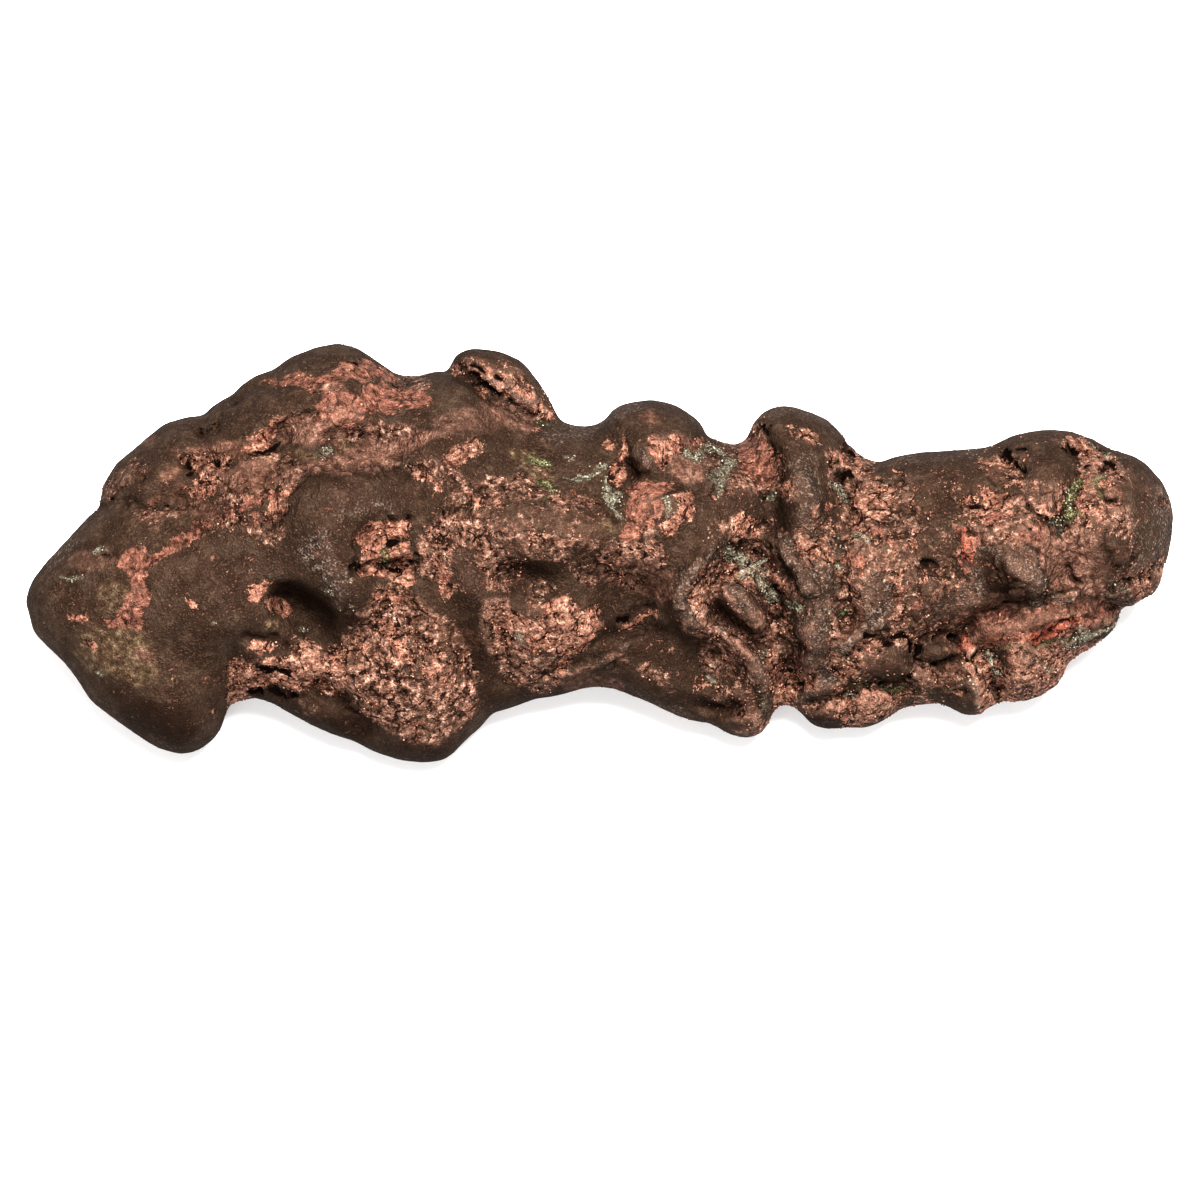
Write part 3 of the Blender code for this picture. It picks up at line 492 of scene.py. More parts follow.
streak("crust", 0.6, 0.2, 0.2, 0.4, 0.6, -1)
# painted shade over the lower side, in front of the crest
area("dark", 0.2, -10.5, 0.5, -8, 0.5, -5, 0, -2, 0.5, 0, -0.5, 0.5, -3, 2, -6, 5, -7, 8.5, -6.5, 9.5, -8,
    9.5, -11, 12, -11, 13, -13, 12, -17, 10, -19.5, 6, -19, 2, -16.5, 1, -15.5, -3, -14.5, -2, -12,
    0.5, -11, 0.7, -8, -0.3, -6, -2.5, -5, -4.5, -4.5, -6.5, -5, -6.8, -7.5, -9, -8.5, -11, -7, -10.5, -4,
    -9.7, -2)
area("mottle", 0.6, -16, 0, -12.5, 1, -10.6, -0.5, -9.4, -2.4, -11, -4.4, -13, -5, -16, -3)
area("mottle", 0.55, -9, -3.5, -6.8, -3, -4.6, -4, -6.8, -5, -7, -7.2, -9, -8, -9.8, -5.6)
area("mottle", 0.55, -5, -0.4, -2, 0, 0, -1, 0.4, -3.4, -1, -4.6, -3.4, -3.4)
area("mottle", 0.9, -15, -6, -12, -6, -11, -9, -9, -13, -5.5, -14, -5.5, -17, -8, -18.3, -10, -17,
    -12, -16.5, -14, -13, -15.5, -10)
area("rough", 0.95, -14.4, -8.6, -12.4, -7, -11.6, -7.4, -9.8, -8.3, -8.2, -8.8, -7, -7.5, -6.5, -6,
    -5, -5.3, -3.8, -5.2, -3.2, -6.2, -2.3, -7, -1, -6.5, -0.1, -7.4, 0.3, -9.2, -0.4, -10.5, -1.7, -11.2,
    -2, -12.8, -3.4, -13.2, -4, -14.5, -4.6, -15.6, -5.2, -17, -6, -16.3, -5.2, -14, -6.5, -12.5, -8, -13,
    -9, -12.8, -9.3, -11.2, -11, -11.4, -12.6, -12.6, -13.6, -11)
streaks("copper",
    (0.95, 0.8, -6.4, -6.8, -5, -6.2, -4.2, -5.8),
    (0.95, 0.7, -1.6, -7.4, -0.6, -9, -1.4, -10.4, -2.4, -12),
    (0.95, 0.5, -4.6, -14, -5, -15.4, -5.4, -16.6),
    (0.9, 0.6, -9, -10.6, -8.4, -12.4),
    (0.9, 0.3, 3.2, -8.9, 5, -8.3, 7.3, -7.8))
streak("crust", 0.6, 0.7, -10.4, -9.8, -10.2, -11)
streak("patina", 0.9, 0.6, -7.3, -12.6, -6.6, -13.2)
streak("mottle", 0.9, 0.8, -8.4, -14.6, -7.4, -15.6)
streak("dark", 0.55, 1.2, -19.5, -6.5, -17, -11, -15, -15, -14, -18.4)
streak("rusty", 0.5, 1.3, -22.5, -8.6, -19, -10.5, -16.6, -11.4)
area("copper", 0.35, -25.5, -10.5, -21, -11.6, -17.4, -13, -17.8, -15.6, -21, -17, -25, -16)
streaks("grey_wear_and_sheen",
    (0.4, 0.7, -7.5, -17, -4, -15.6, 0, -14.6, 2.4, -13.4, 5.6, -11.4),
    (0.4, 0.6, 2.6, -16.6, 5, -18, 8, -20, 11, -20.4),
    (0.75, 1, 10.6, -4.6, 10.8, -7, 11.8, -9),
    (0.5, 0.8, 11, -3.4, 12.6, -1.8, 13.6, 0))
streak("copper", 0.7, 0.3, 3.8, -9.2, 4.6, -9.3)
streak("black", 0.9, 0.3, 2.2, -8.3, 4.2, -8)
streaks("rosy",
    (0.7, 0.5, 1.6, -13.2, 3.6, -13.8),
    (0.5, 0.6, -3.4, -15.6, -0.6, -14.8))
streak("black", 0.7, 0.22, 1.9, -15, 2.6, -14)
streak("mottle", 0.8, 0.8, 6, -14.8, 8.4, -16)
streak("copper", 0.8, 0.3, 9.2, -12.4, 9.6, -12.1)
streak("dark", 0.6, 0.7, -13, -18.7, -9, -19, -5, -18)
# pale lines on the left rim's crest, partly wear and partly painted highlight
streaks("crust",
    (0.7, 0.22, 12.4, -2.4, 12.8, -0.8, 13.7, 0.8),
    (0.7, 0.22, 10.2, -6, 10.9, -7.4, 11.6, -8.4))

# %% [markdown]
# The right half is far rougher than the left. Most of it is speckled metal, and the dark patina is left
# only where hands and sand could polish it: the knob caps, the ridges between the hollows, the back ledge,
# the crown and the rounded end. So it is all painted speckled first, and the smooth islands go on top.
# The grey and pale lines along the crests of the ridges are partly painted sheen, and the dark paint under
# the hollow's rim, on the lower flanks of the tongue and the tooth and along the lower edge is painted shade.

# %% Paint the saddle, the second knob, the hollows and the hips
area("mottle", 0.7, 14, 15, 18, 14.2, 21, 19, 27, 19, 33, 14, 37, 11.5, 50, 14, 60, 16.5, 68, 13.5, 75.5, 7,
    75, 0, 72, -6, 68, -8, 62, -14, 58, -19, 50, -21.5, 42, -20, 33, -23, 26, -20, 20, -24.5, 14, -22,
    13, -15, 13, -8, 14, 0)
streaks("patina",
    (0.9, 1.4, 14.6, 6.2, 17, 6.4, 20, 6.6, 23.4, 6.4),
    (0.6, 1.6, 12, 2.4, 15, 3))
area("patina", 1, 20.2, 17, 22, 19.6, 25, 20, 29, 19, 32, 16.5, 33.5, 14, 32, 13.6, 30.6, 14.4, 29.6, 13,
    30, 11, 29.8, 8.5, 30.6, 6.5, 31.8, 5, 30.8, 3.4, 29, 5.8, 28, 4.8, 26.4, 3.6, 24.6, 3, 23.4, 4.6,
    22, 5.4, 24, 6.8, 26, 7.6, 26.2, 9.6, 24.5, 11, 23.8, 13.5, 22.8, 15.6, 22, 17.2)
streaks("grey_wear_and_sheen",
    (0.45, 1, 25.4, 11.6, 27.4, 10, 28.4, 8),
    (0.35, 0.8, 21.5, 18.6, 25, 19.4, 29, 18.4))
streak("mottle", 0.9, 0.8, 20.8, 16.4, 21.8, 15.8)
streaks("black",
    (0.9, 0.35, 21.6, 16.6, 22.4, 16, 22.5, 15),
    (0.9, 0.25, 20.7, 16.9, 20.9, 16.4),
    (0.8, 0.25, 22.2, 17.3, 22.7, 17))
streaks("copper",
    (0.8, 0.22, 23.7, 16.9, 24, 16.7),
    (0.8, 0.22, 25, 16.7, 25.2, 16.3),
    (0.9, 0.35, 33.8, 12.9, 34, 11.8))
streaks("crust",
    (0.8, 0.55, 14.4, 14, 16, 13.5, 17.4, 12.4),
    (0.75, 0.75, 16.6, 12, 16.3, 10, 15.2, 8.2),
    (0.6, 0.5, 14.6, 11, 14.8, 9.4),
    (0.7, 0.4, 31.3, -1.2, 32, -1.5))
streak("copper", 0.9, 0.16, 14.8, 7.8, 16.4, 6.3)
streak("plate", 0.7, 0.4, 16.2, 14.9, 18.6, 14.2, 20, 15.2)
area("plate", 0.95, 18.5, 13.6, 20, 15, 21.5, 15.4, 22.4, 14.8, 22.2, 13.5, 23.2, 12, 23.4, 9.7, 22, 9,
    20.6, 9.8, 19.2, 10.3, 18.2, 11.3, 18.3, 12.7)
streak("copper", 0.7, 0.5, 22.6, 13.8, 23.4, 12.8)
streak("crust", 0.7, 0.5, 21.6, 7.8, 22.8, 7.8)
streak("black", 0.9, 0.22, 21.1, 8.6, 21.8, 7.6, 22.4, 8.4, 23.4, 8)
streak("copper", 0.95, 0.55, 24, 8.4, 25.2, 9.2)
streak("black", 0.8, 0.22, 23.7, 8.6, 24.3, 9.8)
area("rough", 0.95, 26.1, 15.6, 26.5, 16.6, 28, 16.4, 29, 15.4, 28.8, 14.1, 27.8, 14.3, 27, 15)
streak("rough", 0.9, 0.6, 30.6, 13.2, 30.8, 11.8)
streak("copper", 0.9, 0.4, 31.6, 13.2, 32, 11.6)
streak("rough", 0.9, 0.6, 33, 11.2, 35.6, 10.8)
area("rough", 0.9, 33.3, 9.3, 35, 9.4, 37, 9.6, 38.5, 9, 39, 7.5, 37.8, 6, 38, 4, 38, 2.5, 36.5, 1.8,
    34.3, 1.8, 33.6, 2.2, 33, 3.5, 33.4, 5.5, 32.9, 7)
area("plate", 0.85, 35.4, 2.4, 35.8, 4.6, 37, 5, 38, 3.6, 37.6, 2.3, 36.3, 2)
streaks("crust",
    (0.8, 0.5, 30.9, 9.2, 31.9, 8.2, 32.6, 7),
    (0.8, 0.5, 33.8, 2.5, 35, 1.9),
    (0.8, 0.55, 31, 2.4, 31.6, 0.8))
streak("moss", 0.8, 0.3, 31.3, 10.7, 31.7, 10.2)
streaks("black",
    (1, 0.5, 32.5, 13.9, 33.2, 12.8),
    (1, 0.42, 30.9, 12, 31.5, 11, 31.9, 10),
    (1, 0.5, 32.5, 10.4, 33.5, 9.6),
    (0.9, 0.22, 33.2, 6.9, 33.4, 6),
    (0.8, 0.25, 34.5, 7.5, 35.4, 6.8),
    (0.8, 0.22, 37.8, 6.4, 38.2, 5.8))
area("plate", 0.95, 32.6, 0.7, 34.4, 0.6, 34.8, -0.8, 33.8, -2.3, 32.3, -1.6, 31.9, -0.4)
area("rough", 0.9, 25.4, 1, 26.4, 3, 27.5, 3.1, 28.6, 2.4, 30, 2.6, 31.6, 3.2, 31, 0.6, 30.8, -1,
    29.3, -0.4, 28.3, -1.6, 27.3, 0.3, 26, 0)
streaks("copper",
    (0.9, 0.25, 28.6, 6.5, 28.2, 5.4, 28.8, 5.2),
    (0.9, 0.25, 30, 6, 30.1, 5),
    (0.8, 0.35, 29.6, 4, 30.4, 3.6))
area("copper", 0.85, 17.5, 3.1, 17.9, 4.6, 19, 5.4, 20, 4.8, 20.9, 3, 19.8, 2.3, 18.3, 2.5)
streak("black", 1, 0.3, 21.6, 4.5, 21.9, 4.1)
# painted sheen and highlight along the crest of the hollow's right rim
streak("grey_wear_and_sheen", 0.85, 0.8, 24.4, 2.4, 25.4, -0.4, 27.2, -3, 28.6, -4.8)
streak("crust", 0.7, 0.2, 25.2, 0, 26.2, -2, 27.6, -3.8, 28.8, -4.8)
# painted shadow under the hollow's upper rim
area("dark", 0.5, 17.4, 2.3, 20, 2, 22.5, 1.8, 24, 0.8, 25.3, -1, 26.6, -3, 26.6, -4.6, 25.3, -5.9, 24, -6,
    24.4, -4, 23.6, -1.8, 22, -0.2, 19.8, 0.7, 18, 1.2)
area("rough", 1, 16.2, 1.4, 17.5, 1.2, 19.8, 0.4, 21.8, -0.6, 23.4, -2.2, 24.2, -4, 23.8, -5.6, 22, -5.2,
    20.5, -4.4, 18.5, -3.6, 16.8, -3.6, 15.4, -3, 15, -1.6, 15.5, 0)
streaks("crust",
    (0.85, 0.45, 17.8, 0.7, 18.8, -0.1),
    (0.9, 0.55, 18.8, -2.5, 20.2, -1.7, 21.6, -1),
    (0.85, 0.5, 20.8, -3.5, 21.6, -4.6))
streaks("copper",
    (0.9, 0.6, 15.9, -0.4, 15.8, -2.6),
    (0.9, 0.4, 16.5, 1, 17, 0.6),
    (0.9, 0.45, 23, -2.9, 24, -3.7))
streaks("black",
    (1, 0.3, 20.8, -0.4, 21.5, -1.4, 22.2, -3, 22.8, -4.6),
    (0.8, 0.2, 18.1, -0.9, 18.5, -1.3),
    (0.8, 0.2, 19.4, -2.5, 19.9, -2.8),
    (0.9, 0.3, 23.2, -4.1, 23.5, -5),
    (0.9, 0.3, 29.2, -7.1, 29.6, -7.6))
streak("copper", 1, 0.55, 22.1, -6.2, 23.5, -6.8)
streaks("crust",
    (0.75, 0.45, 24.8, -6.3, 26.2, -6.9),
    (0.8, 0.25, 30, -6.7, 30.4, -8))
streak("black", 0.9, 0.25, 26.8, -5.8, 28, -5.7)
area("grey_wear_and_sheen", 0.7, 28.2, -1.6, 30.5, -1.3, 31.5, -3, 31.2, -5, 31.8, -7, 30.6, -6.4, 29, -5.2, 28, -3.4)
area("grey_wear_and_sheen", 0.85, 25.3, -8.2, 27, -7.6, 29.5, -8.4, 30, -10, 28.6, -11.8, 26.6, -11.4, 25.4, -10)
streak("rosy", 0.5, 0.6, 26.2, -10, 28, -9)
streaks("rough",
    (0.8, 0.45, 32, -4.2, 33, -5.4, 34, -5),
    (0.9, 0.5, 32.4, -7.2, 32.2, -9, 33.2, -8.8))
streak("black", 0.9, 0.28, 32.1, -9.6, 32.8, -9.8)
streak("moss", 0.8, 0.3, 31.7, -7.3, 32, -7.6)
streak("rusty", 0.8, 0.9, 34, -7.6, 34, -9.4, 32.4, -11)
area("mottle", 0.9, 10.5, -5, 13, -2.4, 15, -3.4, 16, -5, 14.6, -6.6, 15.6, -9.6, 13, -11, 11, -9.6)
streaks("rough",
    (0.8, 0.5, 12.8, -4.6, 14.6, -3.6),
    (0.8, 0.5, 11.8, -5.8, 14.2, -6.4))
streak("black", 0.9, 0.3, 15.1, -4.7, 15.7, -5.1)
# painted sheen and highlight along the tongue's crest
streak("grey_wear_and_sheen", 0.85, 0.8, 17.4, -4.6, 19.5, -6.2, 20.2, -8.4, 20.5, -9.4)
streak("crust", 0.7, 0.2, 19.2, -6.1, 20, -7.6, 20.4, -8.8)
# painted shade on the tongue's lower flank
area("dark", 0.3, 15, -6, 17, -5.6, 18.6, -7.2, 19.6, -9.4, 21, -10.6, 23.5, -10.8, 26, -11.6, 28, -12.6,
    28.4, -14.4, 26.4, -13.8, 24, -12.4, 21.4, -12.4, 19.4, -11.4, 17.6, -10.2, 15.6, -8.8)
streak("mottle", 0.7, 1, 21.4, -8, 24.4, -9)
streak("copper", 0.9, 0.35, 16.3, -9.6, 17.6, -9.9)
# painted sheen along the tooth's crest
streak("grey_wear_and_sheen", 0.75, 0.75, 16, -9.6, 18.6, -12, 20.6, -14, 21.4, -17, 22, -20)
streak("mottle", 0.8, 0.5, 17.4, -10.6, 19, -12.4, 20.4, -13.4)
# pale lines on the tooth's crest, partly crust and partly painted highlight
streaks("crust",
    (0.7, 0.2, 21.4, -17.8, 21.9, -20.2),
    (0.7, 0.4, 21.3, -13, 22.2, -14.4))
area("rough", 0.9, 22, -12.6, 24, -13.6, 25.4, -15.4, 28, -15.4, 28.5, -16.6, 27, -18, 25.2, -19.4,
    23.2, -19.8, 22.5, -18, 22.4, -15.6)
streaks("black",
    (0.9, 0.28, 26.4, -17.2, 27.7, -16.1),
    (0.8, 0.25, 25.3, -16.4, 26, -17.5),
    (0.8, 0.25, 25, -14.8, 25.4, -15.1))
# painted shade on the tooth's lower left face
area("dark", 0.85, 15.4, -14.6, 17, -14.8, 19.6, -14.6, 20.5, -16.6, 20.8, -19, 20.4, -21.8, 18, -22.8,
    15.8, -21.8, 17, -19.4, 16, -17.4)
streak("dark", 0.9, 0.5, 17.4, -13.8, 18.6, -14.2)
streak("black", 0.8, 0.22, 15.1, -13.9, 15.4, -14.6)
streaks("copper",
    (0.8, 0.28, 15, -13.4, 15.7, -13.6),
    (0.8, 0.25, 17.9, -15.2, 18.5, -15.3))
area("rough", 0.85, 12.4, -16.8, 14.6, -15.7, 15.5, -17, 14.2, -18.7, 12.4, -18.2)
streak("crust", 0.7, 0.4, 14.3, -16, 15, -16.4)
streak("rusty", 0.9, 0.6, 13.6, -20.1, 16.6, -20.9, 18.4, -21.2)
streak("copper", 0.7, 0.25, 14.8, -20.4, 16.4, -20.8, 17.8, -21.6)
streaks("black",
    (0.9, 0.28, 14, -20, 15.6, -19.7),
    (1, 0.35, 17, -20, 18.6, -20.6))
streak("copper", 0.8, 0.22, 18.8, -19.4, 19.1, -20.6)
area("grey_wear_and_sheen", 0.55, 34.4, -2, 38, -3, 38.6, -6, 38, -9, 35.4, -9.8, 34.4, -7)
# painted sheen along the hip ridges
streaks("grey_wear_and_sheen",
    (0.85, 0.75, 29.4, -15.8, 31.6, -12.8, 33.6, -10.9, 35.4, -9.3, 37.4, -8),
    (0.75, 0.8, 26.6, -18.8, 28.6, -18.4, 30.4, -16.4))
streak("rough", 0.8, 0.65, 39.2, -2, 39, -5, 39.4, -7.8)
area("plate", 0.95, 41, -6.2, 41.8, -5.2, 42.4, -5.6, 42.3, -6.8, 41.3, -7.5, 40.7, -7)
streak("rosy", 0.8, 0.7, 41.6, -9.6, 43.8, -9)
streak("crust", 0.6, 0.3, 43, -9, 44, -8.9)
area("rough", 0.9, 33, -12.8, 34.6, -10.9, 37, -10.6, 38.8, -11.2, 38, -12.6, 36, -12.4, 34.4, -13.2)
streaks("black",
    (0.9, 0.32, 34.4, -12.1, 34.9, -12.4),
    (1, 0.36, 36.8, -11.4, 38.2, -11.9),
    (0.8, 0.2, 34.8, -10.8, 36.2, -10.5))
area("rough", 0.75, 29.8, -12.6, 32.4, -13, 34, -14, 34.2, -16, 32, -16.4, 30.4, -15.2)
area("patina", 0.7, 34.6, -13.4, 37, -12.9, 40, -13.4, 40.7, -15, 40, -16.2, 37, -16.2, 35, -15.4)
streak("black", 0.95, 0.26, 34.2, -15.7, 36, -16.5, 38.6, -16.6, 40.7, -16.1)
streak("rusty", 0.5, 0.8, 36, -14.4, 39, -14.6)
area("rough", 0.95, 29, -20.2, 30, -18.7, 33, -17.9, 36, -17.4, 39, -17.7, 39.8, -19.1, 37.4, -20.4,
    35, -21.9, 33, -22.2, 31, -21.6)
streak("copper", 0.8, 0.5, 35, -18, 38.6, -18.4)
streaks("moss",
    (0.8, 0.32, 33.4, -17.3, 35.6, -16.9),
    (0.8, 0.35, 37.6, -17.1, 40.2, -17.2))
streak("crust", 0.7, 0.35, 32.2, -18.4, 34, -18)
streaks("black",
    (0.8, 0.22, 28.6, -19.4, 30.4, -18.9),
    (0.7, 0.25, 33.6, -19.8, 34.4, -20.6, 33.4, -21.2))
# painted shade along the lower edge
streak("dark", 0.8, 0.8, 27.6, -20.8, 29, -22.2, 31.4, -22.6)

# %% [markdown]
# The right end. The crown, the back ledge and the rounded rim are polished smooth and greyish, and part of
# that grey is painted sheen. Under the third knob the metal was torn or chiselled away: that long recess is
# the brightest, pinkest copper of the whole piece, and it is edged below by a line of green and grey crust.
# The dark on the knob's lower left, below the barrel and along the shelf's lower edge is painted shade.

# %% Paint the barrel, the crown, the recess and the end
area("patina", 0.95, 37.6, 12.4, 40, 13.8, 48.4, 14.4, 49.8, 12.8, 49, 11.4, 47.6, 11.6, 46, 12, 43.4, 11.8,
    41, 10.4, 39, 10.8, 37.4, 9.6, 36, 11)
streak("grey_wear_and_sheen", 0.6, 0.5, 39.6, 12.6, 42, 12.4, 46.6, 12.5)
streak("crust", 0.6, 0.15, 48.4, 13.8, 49.7, 12.4)
streaks("black",
    (1, 0.25, 39.3, 10.8, 39.9, 9.8, 40, 8.7),
    (1, 0.5, 42.6, -1.3, 43.7, -1.7))
streak("copper", 0.8, 0.2, 39, 11.2, 39.4, 10.9)
area("rough", 0.65, 40.6, 9.4, 42.4, 9.6, 43.2, 8, 42.6, 6.8, 41, 7)
streak("patina", 0.6, 1.1, 44.6, 7, 46, 5.6)
area("rough", 0.85, 43.6, 10.4, 45, 11.4, 46.6, 11.2, 47.2, 9.6, 46.4, 8, 44.8, 8.2, 44, 9.4)
streaks("black",
    (0.9, 0.25, 45.8, 10.6, 46.2, 10.5),
    (0.7, 0.2, 45.2, 9.2, 45.5, 9))
streaks("copper",
    (0.8, 0.5, 48.3, 10, 49.6, 11),
    (0.35, 1.6, 37, 1, 42, 2))
streak("black", 0.8, 0.2, 48.2, 9.5, 48.6, 9)
area("copper", 0.75, 47.4, 7.4, 49.5, 8.8, 52, 8.4, 53.5, 7, 54.6, 5.8, 53.4, 4.6, 51.4, 4, 50.4, 3.6,
    49.6, 5, 48, 6.2)
streak("plate", 0.9, 0.6, 50.9, 4.4, 52.4, 5)
streak("black", 0.9, 0.2, 47.9, 6.9, 49.6, 6.6, 51.6, 5.8)
area("plate", 1, 46.6, 1.4, 47.2, 3.9, 48.2, 4.1, 48.8, 3, 50, 2.6, 50.3, 1.4, 49.4, 0.2, 49, -2,
    48.2, -2.7, 47.6, -1.6, 47, 0)
streak("copper", 0.3, 1.4, 41, -4, 44, -2)
streak("crust", 0.5, 0.5, 44.6, 3.6, 45.6, 3.4)
# painted shade below the barrel
area("dark", 0.5, 42.4, -5, 46, -5, 49, -6.6, 47.4, -8.8, 45, -9.6, 43.4, -8)
# pale streaks below the barrel, partly crust and partly painted glints
streaks("crust",
    (0.7, 0.2, 46.2, -7.7, 47.2, -6.3, 48.6, -6.8, 49.8, -6.3),
    (0.7, 0.22, 48, -10, 48.5, -9, 49.4, -8.4))
streak("rosy", 0.6, 0.5, 47, -6.8, 48.4, -7.6)
# the crown
area("rough", 0.75, 49.7, 13, 51.6, 13.6, 53.5, 14.2, 55.5, 14.8, 57.6, 15, 56.6, 13.2, 56, 11.6,
    57.6, 10.4, 57, 9.2, 54.4, 8.6, 52.4, 9.4, 50.6, 10.6, 49.6, 12)
area("patina", 0.6, 50.4, 10.2, 52.4, 9.2, 55, 8.4, 57.6, 8.4, 57.4, 7.2, 54.4, 7.2, 51.4, 8.6)
area("patina", 1, 56.2, 12, 57.4, 13.9, 59.4, 15, 60.4, 14.4, 61, 13.5, 62.4, 13.2, 62.7, 11.8, 62.4, 10.2,
    61.4, 9.8, 60.3, 11, 58, 11.6, 56.5, 11.3)
streak("patina", 0.9, 0.7, 50.5, 14.6, 54, 15.8, 58, 16.4, 62, 16.2, 65, 15, 68, 13.8)
streaks("copper",
    (0.8, 0.35, 51.8, 14, 53.4, 14),
    (0.9, 0.3, 54, 13.6, 55, 13.3, 56.6, 14.2),
    (0.7, 0.3, 55.8, 10, 57.4, 10.5))
streak("rusty", 0.9, 0.6, 51.4, 11, 52.6, 10.2)
streaks("black",
    (1, 0.48, 53, 13.1, 53.6, 12.4, 54.2, 11.9),
    (0.9, 0.22, 54.9, 13.1, 56, 13.9),
    (0.9, 0.25, 54.4, 11.8, 55.4, 11.2, 56.4, 10.8),
    (0.8, 0.25, 55.6, 12.6, 56, 12.4),
    (0.7, 0.18, 50.5, 12.7, 52.4, 12.1),
    (0.6, 0.15, 51.4, 9.8, 53.2, 9.1))
streak("crust", 0.7, 0.2, 58.2, 8.7, 59.8, 8.3)
area("rough", 0.9, 60.2, 14.3, 61.4, 15.3, 63.8, 15.1, 64.8, 14, 65, 12.6, 63.8, 11.2, 62.8, 11.6, 62.8, 13,
    61.4, 13.8)
streak("copper", 0.9, 0.28, 60.2, 14.7, 61.6, 15.1, 63.4, 15)
streaks("black",
    (0.95, 0.25, 60.7, 14.2, 61.4, 13.7, 63, 13.5),
    (0.8, 0.28, 62.3, 13.1, 62.5, 12.6),
    (0.8, 0.2, 63.5, 11.8, 64, 12),
    (0.9, 0.24, 65.3, 13.8, 66.6, 13.2),
    (1, 0.3, 66.1, 11.8, 66.7, 12, 67.2, 11.6))
streak("crust", 0.7, 0.2, 64.8, 14.3, 66, 12.8, 67, 13.2)
area("copper", 0.5, 62.2, 10, 64.6, 11.6, 67.4, 11.8, 69.4, 10.8, 68, 9.6, 66.4, 8, 67, 5.6, 66, 3.4,
    63.6, 3.2, 62, 4.4, 61.8, 7)
streaks("moss",
    (0.95, 0.45, 62.9, 9.7, 62.2, 8.6, 61.6, 7.2),
    (1, 0.6, 61.4, 6.6, 60.9, 5.2),
    (0.9, 0.45, 61, 6.2, 62, 5.6, 61.6, 4.6),
    (0.9, 0.4, 59, 4.7, 60, 4.3, 61, 4.4),
    (0.85, 0.45, 64.2, 9.5, 65.1, 10.2, 65.9, 10.5),
    (0.6, 0.55, 65.2, 8.6, 66, 8),
    (0.7, 0.28, 62.8, 5.9, 63.4, 5.7))
streak("crust", 0.85, 0.45, 60.2, 3.7, 60.7, 2.6)
streaks("copper",
    (0.95, 0.3, 58.9, 5.2, 60, 5.5, 60.5, 6.6),
    (0.95, 0.45, 57.6, 5.6, 58.4, 6.3))
streaks("black",
    (0.9, 0.22, 56, 6.1, 57, 5.6, 58, 4.9, 59, 4.3),
    (0.8, 0.2, 59, 6, 60, 6.1),
    (0.8, 0.2, 57.4, 6.8, 58.2, 7),
    (0.95, 0.22, 66.5, 7.5, 67.2, 7.1, 68, 6.8),
    (0.9, 0.25, 68.4, 10.1, 69, 9.8))
streak("copper", 0.9, 0.25, 66.8, 6.9, 67.6, 6.5)
area("rusty", 0.6, 67, 9.8, 68.5, 9.2, 71, 9.6, 71.6, 7.6, 70.4, 6.4, 68.4, 6.2, 66.8, 8)
area("patina", 0.8, 67.4, 9.2, 69.6, 9, 71.6, 8.6, 71, 6.4, 69.6, 5.4, 68.4, 6.8)
area("patina", 1, 66.6, 13.9, 70, 13.4, 72.6, 11.8, 75, 9, 73, 8.8, 71.2, 9.4, 69.6, 11.2, 67.4, 12.8)
area("grey_wear_and_sheen", 0.85, 70.2, 3.6, 71.2, 5.4, 72.2, 7.8, 73.2, 9.6, 75.6, 8, 75.8, 5, 75.6, 1, 74, -0.4,
    72.6, -1.4, 70.8, -2.4, 70, -1.4, 69.8, 0.4, 70.1, 2)
streaks("copper",
    (0.9, 0.3, 72.3, 3.5, 72.6, 2.5),
    (0.9, 0.3, 73.4, 6.9, 74.2, 6.4))
streaks("black",
    (0.8, 0.15, 73.8, 7, 74.3, 6),
    (0.7, 0.15, 71.4, 1.7))
area("rosy", 0.55, 59, 1.8, 62, 2.4, 66, 2.6, 66, -1, 65.8, -3.8, 63.4, -4.4, 60, -4.6, 58.9, -3,
    58.9, -0.6)
area("patina", 0.8, 66.6, 2.4, 67.6, 3.1, 69, 2, 69.7, 0.6, 69.4, -1, 68, -1.8, 66.8, -0.6, 66.4, 1)
streaks("rusty",
    (0.5, 0.7, 67.6, 1.4, 68.4, 0),
    (0.8, 0.6, 62.4, -2, 62.8, -2.8))
streak("copper", 0.9, 0.25, 66.4, 3.5, 67, 2.8)
streaks("black",
    (0.7, 0.15, 66.9, 2.3, 68.3, 0.8),
    (1, 0.24, 61.5, -1.4, 61.5, -2.4, 62.1, -3.4, 62.7, -3.8),
    (0.7, 0.15, 62, -1.2, 63.6, -1.8))
area("rosy", 1, 54.4, 3.4, 56.2, 4.5, 58.4, 4.4, 59.7, 3.2, 59.9, 1.8, 59, 0.8, 58.4, -0.4, 57.4, 0.6,
    56, 1.4, 54.8, 1.9)
area("plate", 0.55, 54.8, 3.4, 56.3, 4.3, 58.3, 4.2, 59.5, 3, 59.3, 1.6, 57.6, 1, 55.4, 2)
streaks("black",
    (0.8, 0.13, 55.2, 3.3, 56.6, 3.2, 57.5, 2.5),
    (0.8, 0.15, 58.4, 1.5, 58, 0.8))
